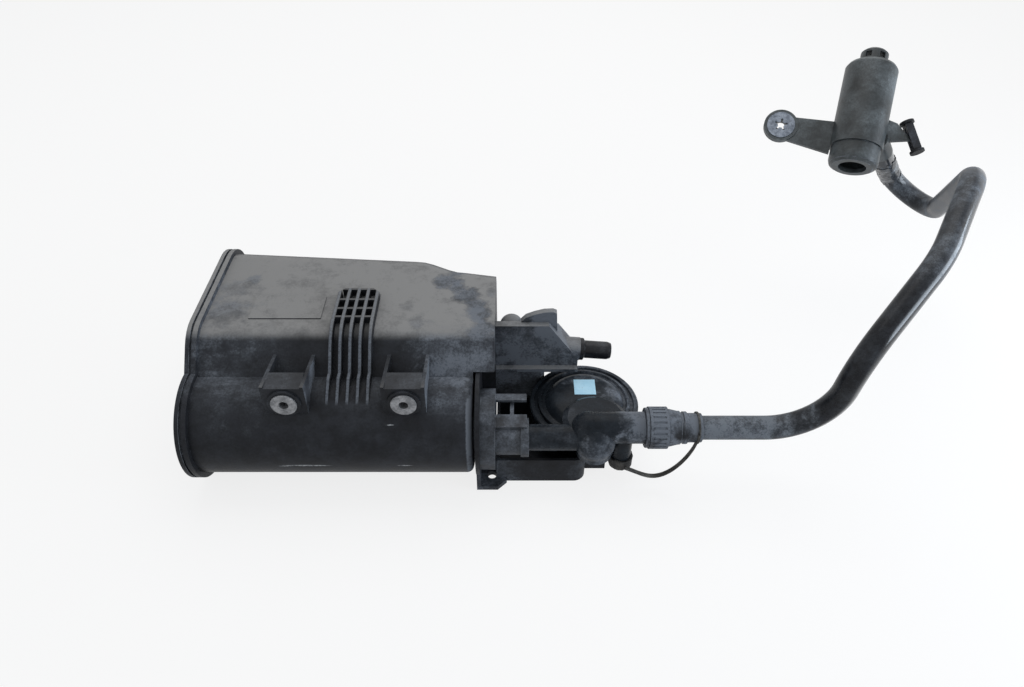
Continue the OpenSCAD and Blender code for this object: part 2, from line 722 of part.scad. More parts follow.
module vent_end_cap() color([0.15, 0.16, 0.18]) place() {
    rail_z = 21;
    rail_end = mouth_x - 1;
    difference() {
        union() {
            rod(cap_x, stub_x, vent_y, vent_z, cap_r);
            rod(tube_x - 3, cap_x + eps, vent_y, vent_z, spigot_r);
            rod(stub_x - eps, collar_x, inlet_y, inlet_z, stub_r);
            rod(collar_x, mouth_x, inlet_y, inlet_z, collar_r);
            translate([stub_x - eps, inlet_y - 4, inlet_z]) cube([mouth_x - stub_x - 1, 13, stub_r + 2.6]);
            translate([stub_x - eps, 0, rail_z - 2.4]) cube([rail_end - stub_x, 7, 2.4]);
            translate([stub_x + 11, inlet_y + 8, inlet_z + stub_r - 2.4]) cube([3, 14, 5]);
        }
        rod(cap_x + cap_wall, stub_x - cap_wall, vent_y, vent_z, cap_r - cap_wall);
        rod(tube_x - 4, cap_x + 2 * cap_wall, vent_y, vent_z, spigot_r - cap_wall);
        rod(stub_x - 2 * cap_wall, mouth_x + eps, inlet_y, inlet_z, inlet_r + 1);
        difference() {
            rod(tube_x - wall - fit, tube_x - fit, vent_y, vent_z, spigot_r + eps);
            rod(tube_x - wall - 1, tube_x, vent_y, vent_z, spigot_r - 1);
        }
    }
}

module vent_seal() color([0.05, 0.05, 0.05]) place()
    o_ring(tube_x - wall / 2 - fit, vent_y, vent_z, spigot_r - 0.45, 0.5);

// Leak detector

module about_detector() translate([det_x, det_y, 0]) children();

module detector_base() color([0.11, 0.11, 0.12]) place() about_detector() rotate_extrude()
    polygon([[0, det_floor], [rim_r - 11, det_floor], [rim_r - 6, det_floor + 6], [rim_r - 4.5, det_split - 4],
        [rim_r, det_split - 4], [rim_r, det_split], [rim_r - 4.5, det_split],
        [rim_r - 4.5, det_split - skin_t], [rim_r - rim_w, det_split - skin_t],
        [rim_r - rim_w - 0.5, det_floor + 7], [rim_r - 12.5, det_floor + det_wall],
        [0, det_floor + det_wall]]);

module diaphragm() color([0.08, 0.08, 0.08]) place() about_detector() rotate_extrude() {
    edge = rim_r - 4.5 - fit;
    sag = det_split - 5.5;
    polygon([[0, sag - skin_t], [rim_r - 20, sag - skin_t], [rim_r - 15, sag + 2], [rim_r - 11, sag + 2],
        [rim_r - rim_w - 0.6, det_split - skin_t], [edge, det_split - skin_t], [edge, det_split],
        [rim_r - rim_w - 1, det_split], [rim_r - 11.5, sag + 2 + skin_t], [rim_r - 15.5, sag + 2 + skin_t],
        [rim_r - 20.5, sag], [0, sag]]);
}

module diaphragm_spring() color("silver") place() translate([det_x, det_y, 0]) rotate([0, -90, 0])
    spring(det_floor + det_wall, 0, 0, 12, det_split - 5.5 - skin_t - det_floor - det_wall, 3);

module cover_profile() {
    outer = [[rim_r, det_split], [rim_r, det_split + 4], [rim_r - 1, det_split + 5],
        [rim_r - 3.5, det_split + 5], [rim_r - 4, det_split + 3], [rim_r - 6.5, det_split + 3],
        [rim_r - 7, det_split + 6], [rim_r - 9, det_split + 6.6], [rim_r - 10, det_split + 4.8],
        [rim_r - 12, det_split + 5], [rim_r - 16, det_top - 1.6], [rim_r - 20, det_top], [0, det_top]];
    inner = [[0, det_top - det_wall], [rim_r - 20.5, det_top - det_wall], [rim_r - 17, det_top - det_wall - 2],
        [rim_r - 12.5, det_split + 2.4], [rim_r - rim_w, det_split + 2], [rim_r - rim_w, det_split]];
    polygon(concat(outer, inner));
}

// The hood over the valve, cut off in front by the outlet tube
module valve_hood() intersection() {
    translate([hood_x, hood_y, det_split + 4]) {
        cylinder(r = hood_r, h = hood_top - det_split - 7);
        translate([0, 0, hood_top - det_split - 7]) cylinder(r1 = hood_r, r2 = hood_r - 4, h = 3);
    }
    translate([hood_x - 2 * hood_r, outlet_y - 4, det_split])
        cube([4 * hood_r, 4 * hood_r, hood_top + hood_r]);
}

module detector_cover() color([0.12, 0.13, 0.15]) place() difference() {
    union() {
        about_detector() rotate_extrude() cover_profile();
        valve_hood();
        translate([ball_x, ball_y, inlet_z - 1]) sphere(ball_r);
        translate([ball_x, ball_y, det_split - 4]) cylinder(r = ball_r - 2, h = inlet_z - det_split + 3);
        translate([det_x, outlet_y, outlet_z]) sphere(outlet_r + 0.6);
        rod(collar_x - 6, det_x, inlet_y, inlet_z, inlet_r);
        rod(det_x, con_x, outlet_y, outlet_z, outlet_r);
        rod(con_x - eps, con_x + socket_len - 2, outlet_y, outlet_z, outlet_spigot_r - fit);
        translate([drain_x, outlet_y, drain_end]) cylinder(r = drain_r, h = outlet_z - drain_end);
    }
    rod(collar_x - 7, det_x + 4, inlet_y, inlet_z, inlet_r - tube_wall);
    rod(det_x - 4, con_x + socket_len, outlet_y, outlet_z, outlet_spigot_r - tube_wall);
    translate([drain_x, outlet_y, drain_end - eps])
        cylinder(r = drain_r - tube_wall, h = outlet_z - drain_end);
    translate([hood_x, hood_y, det_split + 1]) cylinder(r = hood_r / 3, h = outlet_z - det_split);
    about_detector() translate([0, 0, 2 * det_floor]) cylinder(r = rim_r + fit, h = det_split - 2 * det_floor);
    o_ring(mouth_x - 4, inlet_y, inlet_z, inlet_r, 1.2);
    o_ring(con_x + socket_len / 2, outlet_y, outlet_z, outlet_spigot_r - fit, 1.1);
}

module detector_seal() color([0.05, 0.05, 0.05]) place()
    o_ring(mouth_x - 4, inlet_y, inlet_z, inlet_r - 0.1, 1.05);

module detector_label() color([0.62, 0.78, 0.82]) place() about_detector()
    translate([-label_w / 2 + 1, label_y - label_w / 2 + 0.5, det_top]) cube([label_w, label_w, label_t]);

// Strap of the drain cap, hanging in the X-Z plane from its ring to its cup: the share of the way from
// ring to cup, and the height
strap_curve = [[0, 8], [0.02, 1], [0.07, -7], [0.13, -16], [0.2, -25], [0.29, -32], [0.4, -35.6],
    [0.52, -35.6], [0.66, -32], [0.8, -27.5], [0.92, -24.5]];
strap_t = 1.3;
strap_w = 3.4;
strap_ring_x = con_end_x - 5.5;
strap_y = outlet_y - neck_r - fit - strap_t - 0.3;

module strap2d() {
    ring_mid = strap_ring_x + strap_w / 2;
    points = [for (p = strap_curve) [ring_mid - p[0] * (ring_mid - drain_x), p[1]]];
    last = len(points) - 1;
    sides = [for (i = [0:last]) let (run = points[min(i + 1, last)] - points[max(i - 1, 0)])
        [-run[1], run[0]] / norm(run) * strap_t / 2];
    polygon(concat([for (i = [0:last]) points[i] + sides[i]], [for (i = [last:-1:0]) points[i] - sides[i]]));
}

module drain_cap() color([0.09, 0.09, 0.09]) place() {
    cup_h = 9;
    cup_wall = 1.6;
    difference() {
        union() {
            translate([drain_x, outlet_y, drain_end - cup_wall - fit])
                cylinder(r = drain_r + fit + cup_wall, h = cup_h);
            translate([drain_x - 1, strap_y, drain_end - cup_wall - fit])
                cube([drain_r, outlet_y - strap_y - drain_r / 2, cup_h / 2]);
            along_y(strap_y, strap_y + strap_w) strap2d();
            rod(strap_ring_x, strap_ring_x + strap_w, outlet_y, outlet_z, neck_r + fit + strap_t);
        }
        translate([drain_x, outlet_y, drain_end - fit]) cylinder(r = drain_r + fit, h = cup_h);
        rod(strap_ring_x - eps, strap_ring_x + strap_w + 2 * eps, outlet_y, outlet_z, neck_r + fit);
    }
}

// Connector and pipe

module pipe_connector() color([0.12, 0.12, 0.13]) place() translate([con_x, outlet_y, outlet_z])
    rotate([0, 90, 0]) rotate_extrude() polygon([
        [outlet_spigot_r + fit, 0.3], [con_r + 2, 0.3], [con_r + 2, lock_gap - 0.2], [con_r, lock_gap - 0.2],
        [con_r, socket_len - 2], [con_r + 1, socket_len - 2], [con_r + 1, socket_len],
        [neck_r + 1.6, socket_len + 6], [neck_r + 1.6, socket_len + 7.5], [neck_r + 0.4, socket_len + 7.5],
        [neck_r + 0.4, socket_len + 9.5], [neck_r + 1.2, socket_len + 9.5], [neck_r + 1.2, socket_len + 12.5],
        [neck_r, socket_len + 13], [neck_r, socket_len + neck_len], [pipe_r + fit, socket_len + neck_len],
        [pipe_r + fit, socket_len + stop_len - fit], [pipe_r - pipe_wall, socket_len + stop_len - fit],
        [pipe_r - pipe_wall, socket_len], [outlet_spigot_r + fit, socket_len]]);

module connector_lock_ring() color([0.14, 0.14, 0.15]) place() {
    ring_r = con_r + 2.8;
    x0 = con_x + lock_gap;
    x1 = con_x + socket_len - 2.2;
    grips = 24;
    difference() {
        rod(x0, x1, outlet_y, outlet_z, ring_r);
        rod(x0 - eps, x1 + eps, outlet_y, outlet_z, con_r + fit);
        for (i = [0:grips - 1]) translate([x0 + 2, outlet_y, outlet_z]) rotate([360 * i / grips, 0, 0])
            translate([0, -0.8, ring_r - 0.6]) cube([x1 - x0 - 4, 1.6, 2]);
    }
}

module connector_seal() color([0.05, 0.05, 0.05]) place()
    o_ring(con_x + socket_len / 2, outlet_y, outlet_z, outlet_spigot_r - 0.55, 0.64);

// Moves along the bend table to the start of leg i
module pipe_walk(i) {
    if (i == 0) translate([pipe_x, outlet_y, outlet_z]) rotate([0, 90, 0]) children();
    else pipe_walk(i - 1) pipe_bend_start(i - 1) translate([pipe_radii[i - 1], 0, 0])
        rotate([0, pipe_turns[i - 1], 0]) translate([-pipe_radii[i - 1], 0, 0]) children();
}

// Moves from the start of leg i to the start of its bend
module pipe_bend_start(i) translate([0, 0, pipe_legs[i]]) rotate([0, 0, pipe_rolls[i]]) children();

module ring2d(outer, inner) difference() {
    circle(outer);
    circle(inner);
}

// Legs and bends stand a hair apart and a thin collar laps each joint
module vent_pipe() color([0.13, 0.14, 0.16]) place() {
    inner = pipe_r - pipe_wall;
    last = len(pipe_legs) - 1;
    hair = 0.02;
    lap = 0.3;
    rise = 0.05;
    for (i = [0:last]) pipe_walk(i) {
        translate([0, 0, hair]) linear_extrude(pipe_legs[i] - 2 * hair) ring2d(pipe_r, inner);
        for (z = [if (i > 0) 0, if (i < last) pipe_legs[i]]) translate([0, 0, z - lap])
            linear_extrude(2 * lap) ring2d(pipe_r + rise, inner - rise);
    }
    for (i = [0:last - 1]) pipe_walk(i) pipe_bend_start(i) translate([pipe_radii[i], 0, 0])
        rotate([-90, 0, 0]) rotate([0, 0, 180]) rotate_extrude(angle = pipe_turns[i])
            translate([pipe_radii[i], 0]) ring2d(pipe_r, inner);
}

// The pipe's end, with Z back along the pipe
module at_pipe_end() pipe_walk(len(pipe_legs) - 1) translate([0, 0, last_leg]) rotate([0, 0, filter_roll])
    rotate([0, 180, 0]) children();

// The torn film sleeve over the pipe's end
module pipe_cuff() color([0.30, 0.31, 0.33]) place() at_pipe_end() translate([0, 0, 1])
    linear_extrude(cuff_len) ring2d(pipe_r + fit + 0.7, pipe_r + fit);

// Vent filter

module about_filter() at_pipe_end() translate([0, 0, -spigot_seat]) rotate([0, -90, 0])
    rotate([0, 0, -spigot_angle]) translate([-spigot_side, 0, -spigot_z]) children();

module spigot_axis() translate([spigot_side, 0, spigot_z]) rotate([0, 0, spigot_angle]) rotate([0, 90, 0])
    children();

module filter_body() color([0.20, 0.22, 0.22]) place() about_filter() {
    shoulder = 4;
    slot_n = 6;
    nub_z = filter_len + nub_len;
    spigot_bore = pipe_r - pipe_wall - fit - 1.6;
    difference() {
        union() {
            translate([0, 0, base_len]) rotate_extrude() polygon([[0, 0], [filter_r, 0],
                [filter_r, filter_len - base_len - shoulder], [filter_r - 1.5, filter_len - base_len - 1.5],
                [filter_r - shoulder, filter_len - base_len], [nub_r, filter_len - base_len + 0.6],
                [nub_r, filter_len - base_len + nub_len - 2], [nub_r - 2, filter_len - base_len + nub_len],
                [0, filter_len - base_len + nub_len]]);
            lug_arm();
            clip_arm();
            spigot_axis() cylinder(r = pipe_r + 0.6, h = spigot_seat - 0.3);
            spigot_axis() cylinder(r = pipe_r - pipe_wall - fit, h = spigot_seat + spigot_tip);
        }
        translate([0, 0, base_len - eps])
            cylinder(r = filter_r - filter_wall, h = filter_len - base_len - shoulder + eps);
        translate([0, 0, base_len]) cylinder(r = nub_r - filter_wall, h = nub_z - base_len - filter_wall);
        for (i = [0:slot_n - 1]) rotate([0, 0, 360 * i / slot_n + 25])
            translate([-2.6, nub_r - 2 * filter_wall, filter_len + 5]) cube([5.2, 4 * filter_wall, 5]);
        spigot_axis() cylinder(r = spigot_bore, h = spigot_seat + spigot_tip + eps);
        translate([-lug_reach, 0, lug_z]) rotate([90, 0, 0]) cylinder(r = 4.2, h = 4 * lug_t, center = true);
    }
}

// Long arm with the round lug, cut off the can's inside by the body
module lug_arm() {
    translate([-lug_reach, lug_t / 2, lug_z]) rotate([90, 0, 0]) cylinder(r = lug_r, h = lug_t);
    along_y(-arm_t / 2, arm_t / 2) polygon([[-lug_reach, lug_z - lug_r * 0.8], [-filter_r + eps, base_len - 8],
        [-filter_r + eps, base_len + 22], [-lug_reach, lug_z + lug_r * 0.62]]);
}

// Short bent arm that carries the clip
module clip_arm() along_y(2, 2 + arm_t) polygon([[filter_r - 3, clip_z + 13], [filter_r + 8, clip_z + 10],
    [clip_reach - 6, clip_z + 2], [clip_reach - 1.4, clip_z + 2.5], [clip_reach + 1.4, clip_z - 3],
    [filter_r + 2, clip_z - 8], [filter_r - 3, clip_z - 7]]);

module filter_base() color([0.19, 0.20, 0.20]) place() about_filter() {
    lip = 5;
    base_r = filter_r - 1.4;
    rotate_extrude() polygon([[mouth_r, 0], [base_r - 4, 0], [base_r - 1, 1.8], [base_r, 5],
        [base_r, base_len], [filter_r - filter_wall - fit, base_len],
        [filter_r - filter_wall - fit, base_len + lip], [filter_r - 2 * filter_wall, base_len + lip],
        [filter_r - 2 * filter_wall, 4], [mouth_r, 4]]);
}

module filter_element() color([0.30, 0.30, 0.28]) place() about_filter()
    translate([0, 0, base_len + 24]) difference() {
        cylinder(r = filter_r - filter_wall - 0.3, h = filter_len - base_len - 29);
        translate([0, 0, -eps]) cylinder(r = nub_r - filter_wall - 2, h = filter_len - base_len);
    }

module lug_push_nut() color([0.55, 0.57, 0.60]) place() about_filter()
    translate([-lug_reach, -lug_t / 2, lug_z]) rotate([90, 0, 0]) difference() {
        cylinder(r = lug_r - 2.6, h = 0.8);
        translate([0, 0, -eps]) cylinder(r = 2.8, h = 3);
        for (i = [0:4]) rotate([0, 0, 72 * i]) translate([-0.8, 0, -eps]) cube([1.6, 5.6, 3]);
    }

// Double-headed clip, a bar with a dished head at each end
module edge_clip() color([0.05, 0.05, 0.05]) place() about_filter()
    translate([clip_reach, 2 + arm_t / 2, clip_z]) rotate([0, 180 - clip_lean, 0]) {
        half = clip_len / 2;
        difference() {
            translate([-3.2, -4.2, -half + 3]) cube([6.4, 8.4, clip_len - 6]);
            translate([-3.2 - eps, -arm_t / 2 - fit, -half + 6])
                cube([6.4 + 2 * eps, arm_t + 2 * fit, clip_len - 12]);
        }
        for (end = [-1, 1]) {
            translate([0, 0, end * (half - 1.2)]) cylinder(r = 6, h = 2.2, center = true);
            translate([0, 0, end * (half - 3)]) cylinder(r = 3.2, h = 3, center = true);
        }
    }

canister_housing();
end_cover();
main_carbon_bed();
bleed_carbon_bed();
main_retainer_plate();
bleed_retainer_plate();
main_spring_front();
main_spring_rear();
bleed_spring();
main_plate_fleece();
main_port_fleece();
bleed_plate_fleece();
bleed_vent_fleece();
left_bracket_insert();
right_bracket_insert();
port_block();
tank_nipple();
purge_nipple();
detector_carrier();
vent_end_cap();
vent_seal();
detector_base();
detector_cover();
detector_seal();
diaphragm();
diaphragm_spring();
detector_label();
drain_cap();
pipe_connector();
connector_lock_ring();
connector_seal();
vent_pipe();
pipe_cuff();
filter_body();
filter_base();
filter_element();
lug_push_nut();
edge_clip();
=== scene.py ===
import bpy
import math
from mathutils import Matrix, Vector, noise


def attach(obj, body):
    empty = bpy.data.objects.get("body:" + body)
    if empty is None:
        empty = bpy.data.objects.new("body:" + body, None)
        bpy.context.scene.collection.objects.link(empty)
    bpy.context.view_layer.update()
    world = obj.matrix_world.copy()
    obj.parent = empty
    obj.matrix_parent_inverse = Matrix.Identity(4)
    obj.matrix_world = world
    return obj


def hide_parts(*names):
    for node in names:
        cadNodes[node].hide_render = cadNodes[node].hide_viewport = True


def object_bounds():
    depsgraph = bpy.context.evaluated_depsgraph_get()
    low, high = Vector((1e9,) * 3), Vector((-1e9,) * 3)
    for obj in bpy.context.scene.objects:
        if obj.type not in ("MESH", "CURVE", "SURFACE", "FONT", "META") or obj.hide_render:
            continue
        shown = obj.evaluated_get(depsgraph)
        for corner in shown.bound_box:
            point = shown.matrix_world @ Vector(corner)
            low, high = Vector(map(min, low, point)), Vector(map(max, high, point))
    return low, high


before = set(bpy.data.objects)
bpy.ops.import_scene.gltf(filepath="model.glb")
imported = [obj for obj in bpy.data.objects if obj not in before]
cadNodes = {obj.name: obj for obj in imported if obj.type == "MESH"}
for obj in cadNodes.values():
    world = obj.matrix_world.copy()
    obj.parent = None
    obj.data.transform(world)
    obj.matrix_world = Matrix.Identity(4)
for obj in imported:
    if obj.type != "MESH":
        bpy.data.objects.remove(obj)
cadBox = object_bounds()
mm = 0.001
shaderSet = {"coatRough": 0.12, "bumpStrength": 0.7, "spotWander": 2.2}
print("frame loaded with", len(cadNodes), "nodes")


# a shader socket that takes part in plain sums
class Wire:
    def __init__(self, board, out):
        self.board = board
        self.out = out

    def __add__(self, other):
        return self.board.maths("ADD", self, other)

    def __radd__(self, other):
        return self.board.maths("ADD", other, self)

    def __sub__(self, other):
        return self.board.maths("SUBTRACT", self, other)

    def __rsub__(self, other):
        return self.board.maths("SUBTRACT", other, self)

    def __mul__(self, other):
        return self.board.maths("MULTIPLY", self, other)

    def __rmul__(self, other):
        return self.board.maths("MULTIPLY", other, self)


# one node tree, with every node made by the same method
class Board:
    def __init__(self, tree):
        self.tree = tree
        tree.nodes.clear()

    def make(self, kind, settings=None, feeds=None, out=0):
        made = self.tree.nodes.new(kind)
        for key, value in (settings or {}).items():
            setattr(made, key, value)
        for key, value in (feeds or {}).items():
            socket = made.inputs[key]
            if isinstance(value, Wire):
                self.tree.links.new(value.out, socket)
            elif isinstance(value, tuple) and socket.type == "RGBA":
                socket.default_value = (*value, 1)
            else:
                socket.default_value = value
        return Wire(self, made.outputs[out]) if made.outputs else made

    def maths(self, operation, a, b=0.0, clamp=False):
        return self.make("ShaderNodeMath", {"operation": operation, "use_clamp": clamp}, {0: a, 1: b})

    def clamp(self, value):
        return self.maths("ADD", value, 0.0, True)

    def step(self, value, low, high):
        return self.make("ShaderNodeMapRange", {"interpolation_type": "SMOOTHSTEP"},
                         {"Value": value, "From Min": low, "From Max": high})

    def tint(self, factor, a, b):
        return self.make("ShaderNodeMix", {"data_type": "RGBA"}, {0: factor, 6: a, 7: b}, 2)

    def place(self):
        return self.make("ShaderNodeTexCoord", out=3)

    def cloud(self, scale, detail, rough, stretch=(1, 1, 1), offset=(0, 0, 0), turn=(0, 0, 0)):
        moved = self.make("ShaderNodeMapping", None,
                          {"Vector": self.place(), "Location": offset, "Rotation": turn, "Scale": stretch})
        return self.make("ShaderNodeTexNoise", None,
                         {"Vector": moved, "Scale": scale, "Detail": detail, "Roughness": rough})

    # a round patch whose border wanders with a cloud
    def spot(self, centre, radius, soft, wander):
        gap = self.make("ShaderNodeVectorMath", {"operation": "DISTANCE"},
                        {0: self.place(), 1: centre}, 1)
        gap = gap + radius * shaderSet["spotWander"] * (wander - 0.5)
        return 1 - self.step(gap, radius - soft, radius + soft)

    # a short scratch about a point: half its length, half its width and its slope
    def scratch(self, centre, length, width, slope):
        moved = self.make("ShaderNodeVectorMath", {"operation": "SUBTRACT"}, {0: self.place(), 1: centre})
        turned = self.make("ShaderNodeMapping", None,
                           {"Vector": moved, "Rotation": (0, slope, 0),
                            "Scale": (1 / length, 0.15 / width, 1 / width)})
        gap = self.make("ShaderNodeVectorMath", {"operation": "LENGTH"}, {0: turned}, 1)
        return 1 - self.step(gap, 0.5, 1.0)

    def axis(self, index):
        return self.make("ShaderNodeSeparateXYZ", None, {0: self.place()}, index)

    def lean(self, index):
        normal = self.make("ShaderNodeNewGeometry", out=1)
        return self.make("ShaderNodeSeparateXYZ", None, {0: normal}, index)

    def up(self):
        return self.lean(2)

    def finish(self, colour, rough, bump, depth, metallic=0.0, coat=0.0, specular=0.5):
        normal = self.make("ShaderNodeBump", None,
                           {"Height": bump, "Distance": depth, "Strength": shaderSet["bumpStrength"]})
        shader = self.make("ShaderNodeBsdfPrincipled", None,
                           {"Base Color": colour, "Roughness": rough, "Metallic": metallic,
                            "Coat Weight": coat, "Coat Roughness": shaderSet["coatRough"],
                            "Specular IOR Level": specular, "Normal": normal})
        self.make("ShaderNodeOutputMaterial", None, {"Surface": shader})


def newBoard(name):
    material = bpy.data.materials.new(name)
    material.use_nodes = True
    return material, Board(material.node_tree)


# painted highlight: a paler ring on the tube's rounded right end, where its edge catches the light
def paintedEndHighlight(board, ring):
    ends = board.step(board.axis(0), ring["from"], ring["from"] + ring["soft"] / 2)
    below = 1 - board.step(board.axis(2), ring["top"] - ring["soft"], ring["top"])
    before = 1 - board.step(board.axis(1), ring["back"] - ring["soft"], ring["back"])
    return ring["gain"] * (ends * below) * before


# pad of ribs: where it lies, and the lines along its crests; the crests get painted highlights and the
# rest of the pad painted shade
def padShadeMasks(board, pad):
    beat = board.maths("PINGPONG", board.axis(0) - pad["first"], pad["pitch"] / 2)
    line = 1 - board.step(beat, pad["line"] * 0.6, pad["line"])
    side = board.maths("ABSOLUTE", board.axis(0))
    inside = 1 - board.step(side, pad["half"] - pad["soft"], pad["half"])
    inside = inside * (1 - board.step(board.axis(1), pad["back"] - pad["soft"], pad["back"]))
    inside = inside * board.step(board.up(), 0.2, 0.4) * board.step(board.axis(1), *pad["front"])
    return inside, line


# moulded plastic with a thin bluish haze, settled dust on what faces up, and scratches; the same haze also
# carries the painted highlights and painted shade that some looks ask for
def mouldedPlastic(name, look):
    material, board = newBoard(name)
    seed = look["seed"]
    blotch = board.cloud(look["blotchScale"], 6, 0.64, offset=(seed, 0.1, 0.2))
    patch = board.cloud(90, 5, 0.66, offset=(0.4, seed, 0.3))
    wipe = board.cloud(46, 5, 0.62, look["smear"], (0.3, 0.1, seed))
    grain = board.cloud(560, 4, 0.75)
    speck = board.step(grain, 0.36, 0.64)
    facing = board.step(board.up(), look["upLow"], look["upHigh"])
    hazeAndHighlight = look["hazeSide"] + facing * look["hazeTop"]
    dust = facing * look["dustTop"]
    if "dustLine" in look:
        dust = dust * board.step(board.axis(2), *look["dustLine"])
    if "endHighlightRing" in look:
        hazeAndHighlight = hazeAndHighlight + paintedEndHighlight(board, look["endHighlightRing"])
    for webX, gain in look["webs"]:
        side = board.maths("ABSOLUTE", board.axis(0) - webX)
        hazeAndHighlight = hazeAndHighlight + gain * (1 - board.step(side, 0.001, 0.002)) * board.step(board.lean(0), 0.4, 0.8)
    for centre, radius, soft, hazeAndHighlightGain, dustKeep in look["spots"]:
        patchMask = board.spot(centre, radius, soft, patch)
        hazeAndHighlight = hazeAndHighlight + hazeAndHighlightGain * patchMask
        dust = dust * (1 - (1 - dustKeep) * patchMask)
    hazeAndHighlight = hazeAndHighlight * (0.25 + 1.5 * board.step(blotch, 0.32, 0.7))
    hazeAndHighlight = hazeAndHighlight * (0.55 + 0.9 * board.step(wipe, 0.3, 0.7))
    # painted shade and highlight on the rib pad: its haze gives way to painted highlight lines on the
    # crests, and its dust is cut back as painted shade between them
    if "ribPad" in look:
        inside, line = padShadeMasks(board, look["ribPad"])
        hazeAndHighlight = hazeAndHighlight * (1 - inside) + inside * line * look["ribPad"]["crestHighlight"]
        dust = dust * (1 - inside * look["ribPad"]["paintedShadeCut"])
    hazeAndHighlight = board.clamp(hazeAndHighlight * (0.62 + 0.76 * speck))
    dust = dust * (0.72 + 0.4 * board.step(blotch, 0.3, 0.62))
    dust = dust * (0.86 + 0.22 * board.step(patch, 0.34, 0.6))
    dust = board.clamp(dust * (0.9 + 0.2 * speck))
    bare = board.tint(board.step(patch, 0.35, 0.68), look["base"], look["sheen"])
    colour = board.tint(hazeAndHighlight, bare, look["hazeAndHighlight"])
    colour = board.tint(dust, colour, look["dust"])
    for centre, length, width, slope, strength in look["scratches"]:
        mark = board.scratch(centre, length, width, slope) * board.step(grain, 0.36, 0.56)
        colour = board.tint(strength * mark, colour, look["scratch"])
    rough = look["rough"] + 0.2 * hazeAndHighlight + 0.25 * dust + 0.2 * (patch - 0.5)
    board.finish(colour, rough, grain + 0.5 * patch, 0.00016, specular=look["specular"])
    return material


# rubbed edges, paler than the faces beside them
def wornEdge(name, look):
    material, board = newBoard(name)
    rub = board.step(board.cloud(110, 5, 0.68, offset=(0.2, 0.5, 0.1)), 0.38, 0.64)
    fleck = board.step(board.cloud(520, 3, 0.6, offset=(0.6, 0.2, 0.3)), 0.42, 0.66)
    worn = board.clamp((rub * 0.8 + fleck * 0.3) * look["wear"])
    colour = board.tint(worn, look["sheen"], look["edge"])
    board.finish(colour, 0.48 + 0.2 * worn, fleck, 0.00008, specular=look["specular"])
    return material


# smooth extruded pipe: glossy on its right where clean, dull where dust has settled
def pipeSkin(name, look):
    material, board = newBoard(name)
    film = board.step(board.cloud(30, 6, 0.68, offset=(0.2, 0.3, 0.1)), 0.38, 0.66)
    patch = board.step(board.cloud(120, 5, 0.7, offset=(0.7, 0.2, 0.5)), 0.4, 0.66)
    grain = board.cloud(900, 3, 0.65)
    facing = board.step(board.up(), look["upLow"], look["upHigh"])
    dust = look["dustSide"] + facing * look["dustTop"]
    # spots add dust; on the torn film they are painted glints along its torn edge
    for centre, radius, soft, gain in look["spots"]:
        dust = dust + gain * board.spot(centre, radius, soft, board.cloud(60, 4, 0.6))
    dust = dust * (0.3 + 1.1 * film) * (0.55 + 0.75 * patch)
    dust = board.clamp(dust * (0.7 + 0.6 * board.step(grain, 0.36, 0.64)))
    colour = board.tint(dust, board.tint(patch, look["base"], look["sheen"]), look["dust"])
    shine = board.step(board.lean(0), 0.05, 0.35) * (1 - dust) * look["coat"]
    board.finish(colour, look["rough"] + 0.42 * dust, grain + patch, 0.00005, coat=shine,
                 specular=look["specular"])
    return material


def plainMetal(name, look):
    material, board = newBoard(name)
    stain = board.step(board.cloud(180, 5, 0.66), 0.36, 0.66)
    pit = board.step(board.cloud(760, 3, 0.6, offset=(0.3, 0.8, 0.2)), 0.5, 0.7)
    colour = board.tint(stain, look["base"], look["stain"])
    colour = board.tint(pit * 0.5, colour, look["pit"])
    board.finish(colour, look["rough"] + 0.25 * stain, pit + stain, 0.00008, look["metallic"])
    return material


def softRubber(name, look):
    material, board = newBoard(name)
    bloom = board.step(board.cloud(150, 5, 0.66), 0.4, 0.68)
    grain = board.cloud(1300, 2, 0.5)
    colour = board.tint(board.clamp(bloom * look["bloom"]), look["base"], look["dust"])
    board.finish(colour, 0.6 + 0.2 * bloom, grain + bloom, 0.00012, specular=0.25)
    return material


def stickerPaper(name, look):
    material, board = newBoard(name)
    fade = board.step(board.cloud(170, 4, 0.6), 0.35, 0.7)
    speck = board.step(board.cloud(640, 3, 0.6), 0.58, 0.72)
    colour = board.tint(fade, look["base"], look["faded"])
    colour = board.tint(speck * 0.4, colour, look["dirt"])
    board.finish(colour, 0.42 + 0.15 * fade, speck, 0.00003, specular=0.3)
    return material


def fibreMat(name, look):
    material, board = newBoard(name)
    fibre = board.cloud(900, 4, 0.7, (1, 0.3, 1), turn=(0.4, 0.2, 0.7))
    board.finish(board.tint(fibre, look["base"], look["dust"]), 0.9, fibre, 0.0004, specular=0.2)
    return material


def carbonGrains(name, look):
    material, board = newBoard(name)
    cell = board.make("ShaderNodeTexVoronoi", {"feature": "F1"}, {"Vector": board.place(), "Scale": 420.0})
    colour = board.tint(board.step(cell, 0.1, 0.7), look["base"], look["sheen"])
    board.finish(colour, 0.7 + 0.2 * cell, cell, 0.0008, specular=0.3)
    return material
